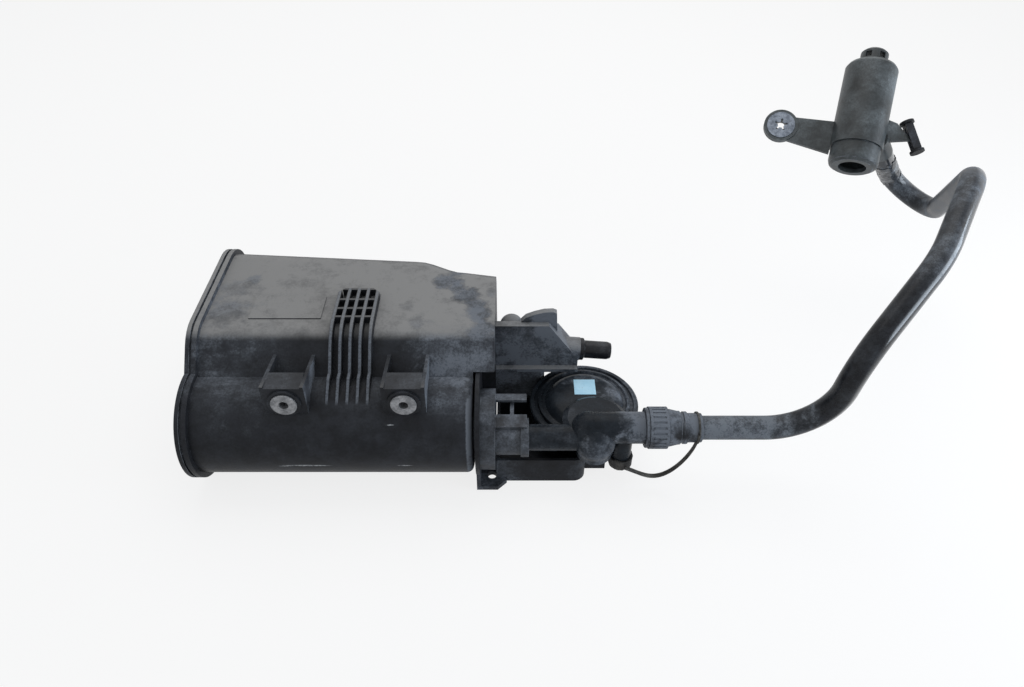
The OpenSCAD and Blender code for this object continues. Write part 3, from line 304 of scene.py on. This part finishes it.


# looks of the finishes; a spot on plastic is its centre, radius, soft border, added haze (a painted
# highlight in the spots marked so) and the share of dust it keeps, and a scratch its centre, half length,
# half width, slope and strength
plainLook = {
    "base": (0.0105, 0.0112, 0.0132), "sheen": (0.020, 0.0215, 0.026), "hazeAndHighlight": (0.135, 0.150, 0.175),
    "dust": (0.236, 0.234, 0.231), "scratch": (0.50, 0.52, 0.54), "edge": (0.21, 0.23, 0.26),
    "specular": 0.16, "rough": 0.46, "wear": 0.7, "upLow": 0.3, "upHigh": 0.95, "hazeTop": 0.2,
    "dustTop": 0.0, "blotchScale": 34, "smear": (0.5, 1.7, 1.0), "webs": (), "spots": (), "scratches": (),
}
wipedTop = (
    ((0.0674, 0.121, 0.0205), 0.010, 0.004, 0.50, 0.12),
    ((0.076, 0.111, 0.0205), 0.007, 0.003, 0.55, 0.20),
    ((0.085, 0.101, 0.0205), 0.010, 0.004, 0.35, 0.10),
    ((0.091, 0.090, 0.0205), 0.008, 0.004, 0.55, 0.12),
    ((0.095, 0.079, 0.0205), 0.009, 0.004, 0.45, 0.12),
    ((0.0985, 0.060, 0.0195), 0.011, 0.005, 0.55, 0.15),
    ((0.074, 0.133, 0.0190), 0.007, 0.003, 0.35, 0.20),
    ((0.103, 0.106, 0.0205), 0.005, 0.003, 0.35, 0.50),
    ((0.038, 0.088, 0.0205), 0.005, 0.003, 0.10, 0.70),
    ((0.047, 0.068, 0.0205), 0.007, 0.004, 0.30, 0.55),
    ((-0.100, 0.083, 0.0205), 0.015, 0.007, 0.55, 0.50),
    ((-0.102, 0.108, 0.0205), 0.012, 0.006, 0.45, 0.70),
    ((-0.089, 0.123, 0.0205), 0.006, 0.003, 0.40, 0.40),
)
scuffedFront = (
    ((0.080, 0.048, 0.009), 0.027, 0.015, 0.64, 1.0),
    ((0.072, 0.020, -0.006), 0.020, 0.012, 0.16, 1.0),
    ((-0.080, 0.030, -0.003), 0.034, 0.016, 0.16, 1.0),
    ((-0.117, 0.100, 0.010), 0.050, 0.020, 0.40, 1.0),
)
housingLook = dict(
    plainLook, upLow=0.80, upHigh=0.99, hazeSide=0.04, hazeTop=0.12, dustTop=1.0, seed=0.13,
    specular=0.11, dustLine=(0.0125, 0.0195), webs=((-0.027, 0.8), (0.058, 0.8)),
    # painted highlight on the rounded right end of the front tube
    endHighlightRing={"from": 0.0855, "back": 0.062, "top": -0.004, "soft": 0.004, "gain": 1.4},
    # rib pad: painted highlights on the crests, painted shade between them
    ribPad={"first": -0.0147, "pitch": 0.00735, "line": 0.0012, "half": 0.0165, "back": 0.1035,
            "front": (0.007, 0.012), "soft": 0.0005, "crestHighlight": 0.85, "paintedShadeCut": 0.62},
    spots=wipedTop + scuffedFront,
    scratches=(((-0.033, -0.0126, -0.0504), 0.022, 0.0010, 0.02, 0.8),
               ((0.0405, -0.0126, -0.0504), 0.007, 0.0008, 0.2, 0.6),
               ((0.0317, -0.0024, -0.0164), 0.0035, 0.0005, -0.8, 0.7),
               ((-0.048, -0.0128, -0.0515), 0.006, 0.0006, 0.3, 0.5)),
)
blockLook = dict(
    plainLook, hazeSide=0.60, hazeTop=0.45, dustTop=0.70, seed=0.37, blotchScale=60,
    spots=(((0.112, 0.079, -0.022), 0.009, 0.005, 0.8, 1.0),
           ((0.150, 0.080, -0.034), 0.030, 0.012, 0.15, 1.0),
           ((0.155, 0.084, 0.012), 0.018, 0.008, 1.4, 1.0)),
)
ventLook = dict(plainLook, upLow=0.1, hazeSide=0.32, hazeTop=0.15, seed=0.52, blotchScale=60)
carrierLook = dict(
    plainLook, base=(0.007, 0.0072, 0.0085), sheen=(0.013, 0.0135, 0.016), hazeSide=0.06, hazeTop=0.02,
    seed=0.61, wear=0.5, specular=0.1,
    spots=(((0.100, 0.004, -0.083), 0.022, 0.010, 0.30, 1.0),
           # painted highlight: this spot lightens the tray's right front corner
           ((0.173, 0.004, -0.075), 0.010, 0.004, 0.25, 1.0)),
)
detectorLook = dict(
    plainLook, base=(0.0070, 0.0088, 0.0115), sheen=(0.012, 0.016, 0.021), hazeSide=0.035, hazeTop=0.0,
    upLow=0.2, rough=0.26, specular=0.07, seed=0.24, blotchScale=70,
    spots=(((0.186, -0.004, -0.046), 0.014, 0.006, 0.45, 1.0),
           ((0.218, 0.011, -0.026), 0.016, 0.007, 1.3, 1.0),
           ((0.150, 0.008, -0.034), 0.020, 0.010, 0.12, 1.0),
           ((0.188, 0.094, -0.046), 0.030, 0.012, 0.45, 1.0),
           # painted highlight: this spot lightens the dome's right side with a bluish sheen
           ((0.212, 0.058, -0.040), 0.017, 0.008, 0.70, 1.0)),
)
connectorLook = dict(
    plainLook, hazeSide=0.74, hazeTop=0.50, upLow=0.0, seed=0.45, blotchScale=80, smear=(0.4, 1, 1),
    spots=(((0.244, 0.003, -0.026), 0.008, 0.003, -0.8, 1.0),),
)
filterLook = dict(
    plainLook, base=(0.012, 0.0143, 0.0152), sheen=(0.026, 0.031, 0.0335), hazeAndHighlight=(0.138, 0.158, 0.168),
    hazeSide=0.21, hazeTop=0.02, upLow=-0.2, upHigh=0.9, seed=0.77, blotchScale=46, specular=0.34,
    rough=0.36,
    spots=(((0.424, 0.270, 0.110), 0.012, 0.006, -0.3, 1.0),
           ((0.420, 0.245, 0.090), 0.009, 0.005, -0.3, 1.0),
           # painted highlight: these two spots lighten the right side of the can and of its arm
           ((0.448, 0.275, 0.112), 0.018, 0.008, 0.50, 1.0),
           ((0.457, 0.245, 0.088), 0.012, 0.005, 0.5, 1.0)),
)
clipLook = dict(
    plainLook, base=(0.006, 0.006, 0.007), sheen=(0.011, 0.011, 0.013), hazeSide=0.05, hazeTop=0.08,
    seed=0.9, wear=0.4,
)
plateLook = dict(plainLook, base=(0.06, 0.06, 0.062), sheen=(0.09, 0.09, 0.092), hazeSide=0.1, seed=0.3)
pipeLook = {
    "base": (0.0085, 0.009, 0.011), "sheen": (0.013, 0.0145, 0.018), "dust": (0.150, 0.166, 0.188),
    "upLow": 0.1, "upHigh": 1.0, "dustSide": 0.07, "dustTop": 0.06, "rough": 0.26, "coat": 1.0,
    "specular": 0.14,
    "spots": (((0.275, 0.011, -0.030), 0.044, 0.020, 1.6), ((0.430, 0.075, 0.095), 0.050, 0.030, 0.28),
              ((0.458, 0.122, 0.112), 0.028, 0.012, 0.60), ((0.490, 0.190, 0.060), 0.055, 0.020, 0.28),
              ((0.490, 0.268, 0.020), 0.040, 0.020, 0.40)),
}
nippleLook = {
    "base": (0.006, 0.006, 0.007), "sheen": (0.010, 0.010, 0.012), "dust": (0.11, 0.115, 0.125),
    "upLow": 0.3, "upHigh": 1.0, "dustSide": 0.10, "dustTop": 0.10, "rough": 0.30, "coat": 0.0,
    "specular": 0.16, "spots": (),
}
filmLook = dict(
    nippleLook, base=(0.014, 0.016, 0.019), sheen=(0.030, 0.033, 0.038), dust=(0.34, 0.36, 0.38),
    dustTop=0.14, rough=0.16, specular=0.4,
    # painted glints: whitish patches along the film's torn upper edge
    spots=(((0.478, 0.262, 0.046), 0.008, 0.003, 0.55), ((0.484, 0.272, 0.034), 0.006, 0.003, 0.45)),
)
zincLook = {
    "base": (0.30, 0.305, 0.32), "stain": (0.16, 0.165, 0.175), "pit": (0.06, 0.06, 0.06),
    "rough": 0.36, "metallic": 0.5,
}
nutLook = {
    "base": (0.235, 0.265, 0.315), "stain": (0.125, 0.145, 0.18), "pit": (0.05, 0.06, 0.07),
    "rough": 0.42, "metallic": 0.3,
}
springLook = {
    "base": (0.42, 0.42, 0.41), "stain": (0.28, 0.28, 0.27), "pit": (0.12, 0.12, 0.12),
    "rough": 0.3, "metallic": 0.9,
}
rubberLook = {"base": (0.014, 0.014, 0.0145), "dust": (0.125, 0.118, 0.108), "bloom": 0.6}
strapLook = {"base": (0.034, 0.033, 0.031), "dust": (0.165, 0.158, 0.145), "bloom": 0.7}
labelLook = {"base": (0.38, 0.64, 0.80), "faded": (0.46, 0.71, 0.85), "dirt": (0.22, 0.30, 0.35)}
fleeceLook = {"base": (0.66, 0.64, 0.58), "dust": (0.42, 0.40, 0.36)}
foamLook = {"base": (0.060, 0.060, 0.056), "dust": (0.11, 0.11, 0.10)}
carbonLook = {"base": (0.010, 0.010, 0.010), "sheen": (0.05, 0.05, 0.055)}

housingPlastic = mouldedPlastic("housingPlastic", housingLook)
housingEdge = wornEdge("housingEdge", housingLook)
blockPlastic = mouldedPlastic("blockPlastic", blockLook)
blockEdge = wornEdge("blockEdge", blockLook)
ventPlastic = mouldedPlastic("ventPlastic", ventLook)
carrierPlastic = mouldedPlastic("carrierPlastic", carrierLook)
carrierEdge = wornEdge("carrierEdge", carrierLook)
detectorPlastic = mouldedPlastic("detectorPlastic", detectorLook)
detectorEdge = wornEdge("detectorEdge", detectorLook)
connectorPlastic = mouldedPlastic("connectorPlastic", connectorLook)
connectorEdge = wornEdge("connectorEdge", connectorLook)
filterPlastic = mouldedPlastic("filterPlastic", filterLook)
filterEdge = wornEdge("filterEdge", filterLook)
clipPlastic = mouldedPlastic("clipPlastic", clipLook)
clipEdge = wornEdge("clipEdge", clipLook)
platePlastic = mouldedPlastic("platePlastic", plateLook)
pipePlastic = pipeSkin("pipePlastic", pipeLook)
nipplePlastic = pipeSkin("nipplePlastic", nippleLook)
tornFilm = pipeSkin("tornFilm", filmLook)
zincSteel = plainMetal("zincSteel", zincLook)
nutSteel = plainMetal("nutSteel", nutLook)
springSteel = plainMetal("springSteel", springLook)
capRubber = softRubber("capRubber", rubberLook)
strapRubber = softRubber("strapRubber", strapLook)
labelPaper = stickerPaper("labelPaper", labelLook)
fleeceFelt = fibreMat("fleeceFelt", fleeceLook)
filterFoam = fibreMat("filterFoam", foamLook)
carbonPack = carbonGrains("carbonPack", carbonLook)
print("finishes made")

# the nodes that stay as they are, inside the part or out of sight
nodeFinish = {
    "main_carbon_bed": carbonPack, "bleed_carbon_bed": carbonPack, "main_retainer_plate": platePlastic,
    "bleed_retainer_plate": platePlastic, "main_spring_front": springSteel,
    "main_spring_rear": springSteel, "bleed_spring": springSteel, "main_plate_fleece": fleeceFelt,
    "main_port_fleece": fleeceFelt, "bleed_plate_fleece": fleeceFelt, "bleed_vent_fleece": fleeceFelt,
    "vent_seal": capRubber, "detector_seal": capRubber, "connector_seal": capRubber,
    "diaphragm": capRubber, "diaphragm_spring": springSteel, "filter_element": filterFoam,
}
for nodeName, finish in nodeFinish.items():
    cadNodes[nodeName].data.materials.clear()
    cadNodes[nodeName].data.materials.append(finish)


def onlySelect(piece):
    bpy.ops.object.select_all(action="DESELECT")
    piece.select_set(True)
    bpy.context.view_layer.objects.active = piece


def useModifier(piece, kind, **settings):
    modifier = piece.modifiers.new(kind.lower(), kind)
    for key, value in settings.items():
        setattr(modifier, key, value)
    onlySelect(piece)
    bpy.ops.object.modifier_apply(modifier=modifier.name)


def smoothBy(piece, degrees):
    onlySelect(piece)
    bpy.ops.object.shade_smooth_by_angle(angle=math.radians(degrees))


def settle(piece, nodeName):
    onlySelect(piece)
    bpy.ops.object.transform_apply(location=True, rotation=True, scale=True)
    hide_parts(nodeName)
    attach(piece, "root")


# a copy of a node with its edges eased, which stands for the node
easeSet = {"merge": 0.004, "flat": 0.3, "segments": 2, "edge": 30, "smooth": 40}


def easedCopy(nodeName, pieceName, finish, edgeFinish, width, slot):
    mesh = cadNodes[nodeName].data.copy()
    mesh.name = pieceName
    mesh.materials.clear()
    mesh.materials.append(finish)
    mesh.materials.append(edgeFinish)
    piece = bpy.data.objects.new(pieceName, mesh)
    bpy.context.scene.collection.objects.link(piece)
    onlySelect(piece)
    bpy.ops.mesh.customdata_custom_splitnormals_clear()
    bpy.ops.object.mode_set(mode="EDIT")
    bpy.ops.mesh.select_all(action="SELECT")
    bpy.ops.mesh.remove_doubles(threshold=easeSet["merge"] * mm)
    bpy.ops.mesh.dissolve_limited(angle_limit=math.radians(easeSet["flat"]))
    bpy.ops.object.mode_set(mode="OBJECT")
    for face in piece.data.polygons:
        face.material_index = 0
    useModifier(piece, "BEVEL", width=width * mm, segments=easeSet["segments"], limit_method="ANGLE",
                angle_limit=math.radians(easeSet["edge"]), material=1, use_clamp_overlap=True)
    smoothBy(piece, easeSet["smooth"])
    useModifier(piece, "WEIGHTED_NORMAL", keep_sharp=True)
    settle(piece, nodeName)


# node, piece, finish of its faces, finish of its edges, width of the easing in mm, slot
easedNodes = (
    ("canister_housing", "housingShell", housingPlastic, housingEdge, 0.7, "housing_plastic"),
    ("end_cover", "weldedCover", housingPlastic, housingEdge, 0.7, "housing_plastic"),
    ("port_block", "portManifold", blockPlastic, blockEdge, 0.9, "block_plastic"),
    ("tank_nipple", "vapourSpigot", nipplePlastic, nipplePlastic, 0.35, "nipple_plastic"),
    ("purge_nipple", "purgeSpigot", nipplePlastic, nipplePlastic, 0.35, "nipple_plastic"),
    ("detector_carrier", "detectorTray", carrierPlastic, carrierEdge, 0.6, "carrier_plastic"),
    ("vent_end_cap", "ventCap", ventPlastic, blockEdge, 0.6, "block_plastic"),
    ("detector_base", "detectorPan", carrierPlastic, carrierEdge, 0.5, "carrier_plastic"),
    ("detector_cover", "detectorLid", detectorPlastic, detectorEdge, 0.6, "detector_plastic"),
    ("detector_label", "bareSticker", labelPaper, labelPaper, 0.1, "label"),
    ("pipe_connector", "quickConnector", connectorPlastic, connectorEdge, 0.35, "detector_plastic"),
    ("connector_lock_ring", "lockCollar", connectorPlastic, connectorEdge, 0.3, "carrier_plastic"),
    ("filter_body", "filterCan", filterPlastic, filterEdge, 0.5, "filter_plastic"),
    ("filter_base", "filterFoot", filterPlastic, filterEdge, 0.5, "filter_plastic"),
    ("lug_push_nut", "starNut", nutSteel, nutSteel, 0.12, "spring_steel"),
    ("edge_clip", "edgeClip", clipPlastic, clipEdge, 0.4, "clip_plastic"),
    ("left_bracket_insert", "leftInsert", zincSteel, zincSteel, 0.35, "zinc_steel"),
    ("right_bracket_insert", "rightInsert", zincSteel, zincSteel, 0.35, "zinc_steel"),
)
for settings in easedNodes:
    easedCopy(*settings)
print("eased copies made")

# vent pipe: the bend table of the part in mm and degrees, walked leg by leg
pipeRun = {
    "start": (240.0, 11.0, -34.5), "radius": 9.0, "wall": 1.6, "sides": 10, "pitch": 3.0,
    "legs": (68.0, 3.5, 49.5, 49.0, 131.0, 42.5), "rolls": (-175.0, -135.0, 40.5, -33.5, 109.0),
    "turns": (86.0, 57.5, 22.0, 56.0, 159.5), "radii": (48.0, 46.0, 90.0, 36.0, 28.0), "smooth": 50,
}


def walkPipe(run):
    spot = Matrix.Translation(Vector(run["start"])) @ Matrix.Rotation(math.radians(90), 4, "Y")
    points = []
    for i, leg in enumerate(run["legs"]):
        parts = max(2, round(leg / run["pitch"]))
        points += [spot @ Vector((0, 0, leg * j / parts)) for j in range(parts)]
        spot = spot @ Matrix.Translation((0, 0, leg))
        if i == len(run["turns"]):
            break
        spot = spot @ Matrix.Rotation(math.radians(run["rolls"][i]), 4, "Z")
        turn = math.radians(run["turns"][i])
        bend = run["radii"][i]
        parts = max(4, round(turn * bend / run["pitch"]))
        for j in range(parts):
            a = turn * j / parts
            points.append(spot @ Vector((bend * (1 - math.cos(a)), 0, bend * math.sin(a))))
        spot = spot @ Matrix.Translation((bend, 0, 0)) @ Matrix.Rotation(turn, 4, "Y")
        spot = spot @ Matrix.Translation((-bend, 0, 0))
    points.append(spot @ Vector((0, 0, 0)))
    return [p * mm for p in points]


def sweptTube(name, points, radius, sides):
    curve = bpy.data.curves.new(name, "CURVE")
    curve.dimensions = "3D"
    curve.bevel_depth = radius
    curve.bevel_resolution = sides
    curve.twist_mode = "MINIMUM"
    line = curve.splines.new("POLY")
    line.points.add(len(points) - 1)
    for knot, point in zip(line.points, points):
        knot.co = (*point, 1)
    tube = bpy.data.objects.new(name, curve)
    bpy.context.scene.collection.objects.link(tube)
    onlySelect(tube)
    bpy.ops.object.convert(target="MESH")
    tube = bpy.context.active_object
    bpy.ops.object.mode_set(mode="EDIT")
    bpy.ops.mesh.select_all(action="SELECT")
    bpy.ops.mesh.remove_doubles(threshold=0.01 * mm)
    bpy.ops.mesh.normals_make_consistent(inside=False)
    bpy.ops.object.mode_set(mode="OBJECT")
    return tube


pipePoints = walkPipe(pipeRun)
ventPipe = sweptTube("formedPipe", pipePoints, pipeRun["radius"] * mm, pipeRun["sides"])
useModifier(ventPipe, "SOLIDIFY", thickness=pipeRun["wall"] * mm, offset=-1)
ventPipe.data.materials.clear()
ventPipe.data.materials.append(pipePlastic)
smoothBy(ventPipe, pipeRun["smooth"])
settle(ventPipe, "vent_pipe")
print("pipe swept through", len(pipePoints), "points")

# torn film round the pipe's end at the filter; from and to are mm before the end,
# and ripples and tears are pairs of a pattern's scale and its strength
filmWrap = {
    "from": 70.0, "to": 12.0, "radius": 9.3, "sides": 14, "lift": 1.0, "liftBase": 0.15, "thickness": 0.18,
    "ripples": ((260, 0.5), (700, 0.3)), "tears": ((190, 0.35), (520, 0.25)), "tornStart": 0.30,
    "tornEnd": 0.93, "hole": 0.27, "smooth": 50,
}


def unevenness(point, waves):
    return sum(strength * noise.noise(point * scale) for scale, strength in waves)


wrapPoints = []
for i, point in enumerate(pipePoints):
    left = sum((b - a).length for a, b in zip(pipePoints[i:], pipePoints[i + 1:]))
    if filmWrap["to"] * mm < left < filmWrap["from"] * mm:
        wrapPoints.append(point)
film = sweptTube("tornFilm", wrapPoints, filmWrap["radius"] * mm, filmWrap["sides"])
useModifier(film, "SUBSURF", subdivision_type="SIMPLE", levels=1, render_levels=1)
for vertex in film.data.vertices:
    nearest = min(wrapPoints, key=lambda p: (p - vertex.co).length)
    outward = (vertex.co - nearest).normalized()
    ripple = unevenness(vertex.co, filmWrap["ripples"])
    vertex.co += outward * (filmWrap["lift"] * mm * max(0.0, ripple + filmWrap["liftBase"]))
onlySelect(film)
bpy.ops.object.mode_set(mode="EDIT")
bpy.ops.mesh.select_all(action="DESELECT")
bpy.ops.object.mode_set(mode="OBJECT")
for face in film.data.polygons:
    nearest = min(range(len(wrapPoints)), key=lambda i: (wrapPoints[i] - face.center).length)
    share = nearest / (len(wrapPoints) - 1)
    tear = unevenness(face.center, filmWrap["tears"])
    atEnds = share + tear < filmWrap["tornStart"] or share + tear * 0.5 > filmWrap["tornEnd"]
    face.select = atEnds or tear > filmWrap["hole"]
bpy.ops.object.mode_set(mode="EDIT")
bpy.ops.mesh.delete(type="FACE")
bpy.ops.object.mode_set(mode="OBJECT")
useModifier(film, "SOLIDIFY", thickness=filmWrap["thickness"] * mm, offset=0)
film.data.materials.clear()
film.data.materials.append(tornFilm)
smoothBy(film, filmWrap["smooth"])
settle(film, "pipe_cuff")

# drain cap with its strap and the band round the connector's neck, in mm
strapSet = {
    "cap": (203.5, 11.0, -68.5), "capSides": 40, "capRadius": 9.2, "capHeight": 9.0, "capWall": 1.6,
    "capFloor": 2.0, "capCuts": 2, "capEase": 0.4, "lipWaves": ((240, 1.0), (620, 0.5)), "lipLift": 0.7,
    "swayScale": 300, "sway": 0.35, "width": 3.2, "thick": 0.9, "bandSides": 48, "bandX": 256.7,
    "bandRadius": 11.7, "bandEase": 0.25, "neck": (11.0, -34.5), "sharp": 40, "smooth": 45,
    "route": ((256.7, -29.0), (256.6, -36.0), (255.6, -42.0), (253.4, -49.5), (249.6, -58.5),
              (245.0, -66.0), (239.5, -72.5), (232.5, -77.0), (225.0, -77.3), (217.5, -74.0),
              (210.5, -69.8), (206.0, -67.6)),
}
strapSharp = math.radians(strapSet["sharp"])


def makeCap(cap):
    bpy.ops.object.select_all(action="DESELECT")
    bpy.ops.mesh.primitive_cylinder_add(vertices=cap["capSides"], radius=cap["capRadius"] * mm,
                                        depth=cap["capHeight"] * mm, location=[c * mm for c in cap["cap"]])
    bpy.ops.object.transform_apply(location=True)
    cup = bpy.context.active_object
    cup.name = "drainCap"
    top = (cap["cap"][2] + cap["capHeight"] / 2) * mm
    hollow = (cap["capHeight"] - cap["capFloor"]) * mm
    bpy.ops.object.mode_set(mode="EDIT")
    bpy.ops.mesh.select_all(action="DESELECT")
    bpy.ops.object.mode_set(mode="OBJECT")
    for face in cup.data.polygons:
        face.select = face.center.z > top - 0.01 * mm
    bpy.ops.object.mode_set(mode="EDIT")
    bpy.ops.mesh.inset(thickness=cap["capWall"] * mm)
    bpy.ops.mesh.extrude_region_move(TRANSFORM_OT_translate={"value": (0, 0, -hollow)})
    bpy.ops.mesh.select_all(action="SELECT")
    bpy.ops.mesh.subdivide(number_cuts=cap["capCuts"])
    bpy.ops.object.mode_set(mode="OBJECT")
    return cup


drainCap = makeCap(strapSet)
for vertex in drainCap.data.vertices:
    vertex.co.z += unevenness(vertex.co, strapSet["lipWaves"]) * strapSet["lipLift"] * mm
    swayed = noise.noise(vertex.co * strapSet["swayScale"] + Vector((3, 1, 7)))
    vertex.co.x += strapSet["sway"] * mm * swayed
drainCap.data.materials.append(capRubber)
useModifier(drainCap, "BEVEL", width=strapSet["capEase"] * mm, segments=2, limit_method="ANGLE",
            angle_limit=strapSharp)

# the strap is a flat ribbon on edge, drawn in its own plane and stood up
ribbon = bpy.data.curves.new("strapRibbon", "CURVE")
ribbon.dimensions = "2D"
ribbon.extrude = strapSet["width"] / 2 * mm
ribbon.bevel_depth = strapSet["thick"] / 2 * mm
ribbon.bevel_resolution = 2
ribbon.resolution_u = 6
line = ribbon.splines.new("NURBS")
line.points.add(len(strapSet["route"]) - 1)
for knot, (x, z) in zip(line.points, strapSet["route"]):
    knot.co = (x * mm, z * mm, 0, 1)
line.use_endpoint_u = True
line.order_u = 4
strap = bpy.data.objects.new("strapRibbon", ribbon)
strap.rotation_euler = (math.radians(90), 0, 0)
bpy.context.scene.collection.objects.link(strap)
onlySelect(strap)
bpy.ops.object.convert(target="MESH")
bpy.ops.object.transform_apply(location=True, rotation=True)
strap = bpy.context.active_object
strap.data.materials.clear()
strap.data.materials.append(strapRubber)

bandPlace = (strapSet["bandX"] * mm, strapSet["neck"][0] * mm, strapSet["neck"][1] * mm)
bpy.ops.object.select_all(action="DESELECT")
bpy.ops.mesh.primitive_circle_add(vertices=strapSet["bandSides"], radius=strapSet["bandRadius"] * mm,
                                  rotation=(0, math.radians(90), 0), location=bandPlace)
band = bpy.context.active_object
band.name = "strapBand"
bpy.ops.object.transform_apply(location=True, rotation=True)
bpy.ops.object.mode_set(mode="EDIT")
bpy.ops.mesh.select_all(action="SELECT")
bpy.ops.mesh.extrude_edges_move(TRANSFORM_OT_translate={"value": (strapSet["width"] / 2 * mm, 0, 0)})
bpy.ops.object.mode_set(mode="OBJECT")
band.data.materials.append(strapRubber)
useModifier(band, "SOLIDIFY", thickness=strapSet["thick"] * mm, offset=0)
useModifier(band, "BEVEL", width=strapSet["bandEase"] * mm, segments=2, limit_method="ANGLE",
            angle_limit=strapSharp)
onlySelect(drainCap)
strap.select_set(True)
band.select_set(True)
bpy.ops.object.join()
smoothBy(drainCap, strapSet["smooth"])
settle(drainCap, "drain_cap")
print("cap, strap and film made")

# floor, light and camera
stageSet = {
    "floor": 6.0, "middle": (0.12, 0.2), "drop": 0.0002, "pale": 0.82, "seenWhite": 0.8, "world": 0.52,
    "sky": (0.94, 0.97, 1.0), "key": 10.0, "side": 3.2, "fill": 1.2,
}
pureWhite = (1.0, 1.0, 1.0)
bpy.ops.object.select_all(action="DESELECT")
bpy.ops.mesh.primitive_plane_add(size=stageSet["floor"],
                                 location=(*stageSet["middle"], cadBox[0][2] - stageSet["drop"]))
floor = bpy.context.active_object
floor.name = "paleFloor"
floorMaterial, board = newBoard("paleFloor")
seen = board.clamp(board.make("ShaderNodeLightPath", out=0) + board.make("ShaderNodeLightPath", out=3))
paper = board.make("ShaderNodeBsdfDiffuse", None, {"Color": (stageSet["pale"],) * 3})
white = board.make("ShaderNodeEmission", None, {"Color": pureWhite, "Strength": 1.0})
mixed = board.make("ShaderNodeMixShader", None, {0: seen * stageSet["seenWhite"], 1: paper, 2: white})
board.make("ShaderNodeOutputMaterial", None, {"Surface": mixed})
floor.data.materials.append(floorMaterial)

# the background is white to the camera, to gloss and through clear things
world = bpy.data.worlds.new("studio")
bpy.context.scene.world = world
world.use_nodes = True
board = Board(world.node_tree)
seen = board.clamp(board.make("ShaderNodeLightPath", out=0) + board.make("ShaderNodeLightPath", out=3)
                   + board.make("ShaderNodeLightPath", out=6))
soft = board.make("ShaderNodeBackground", None, {"Color": stageSet["sky"], "Strength": stageSet["world"]})
white = board.make("ShaderNodeBackground", None, {"Color": pureWhite, "Strength": 1.0})
mixed = board.make("ShaderNodeMixShader", None, {0: seen, 1: soft, 2: white})
board.make("ShaderNodeOutputWorld", None, {"Surface": mixed})

# name, place, aim, size, power and colour of each lamp
lamps = (
    ("keyLamp", (0.25, 0.75, 1.30), (0.1, 0.05, -0.04), (1.3, 1.3), stageSet["key"], pureWhite),
    ("sideLamp", (0.88, -0.08, 0.18), (0.44, 0.09, 0.07), (0.56, 0.26), stageSet["side"],
     (0.76, 0.87, 1.0)),
    ("fillLamp", (-0.9, -0.7, 0.9), (0.05, 0.05, 0.0), (1.2, 1.2), stageSet["fill"], pureWhite),
)
for lampName, spot, aim, size, power, colour in lamps:
    lampData = bpy.data.lights.new(lampName, "AREA")
    lampData.shape = "RECTANGLE"
    lampData.size, lampData.size_y = size
    lampData.energy = power
    lampData.color = colour
    lamp = bpy.data.objects.new(lampName, lampData)
    lamp.location = spot
    lamp.rotation_euler = (Vector(aim) - Vector(spot)).to_track_quat("-Z", "Y").to_euler()
    bpy.context.scene.collection.objects.link(lamp)

view = {"spot": (0.1195, -0.3935, 0.4005), "turn": (49.0, 0.0, 0.0), "lens": 27.77, "sensor": 36.0,
        "near": 0.01}
cameraData = bpy.data.cameras.new("photoCamera")
cameraData.lens = view["lens"]
cameraData.sensor_width = view["sensor"]
cameraData.sensor_fit = "HORIZONTAL"
cameraData.clip_start = view["near"]
camera = bpy.data.objects.new("photoCamera", cameraData)
camera.location = view["spot"]
camera.rotation_euler = [math.radians(a) for a in view["turn"]]
bpy.context.scene.collection.objects.link(camera)
bpy.context.scene.camera = camera
bpy.context.scene.view_settings.view_transform = "Standard"

print("scene done")
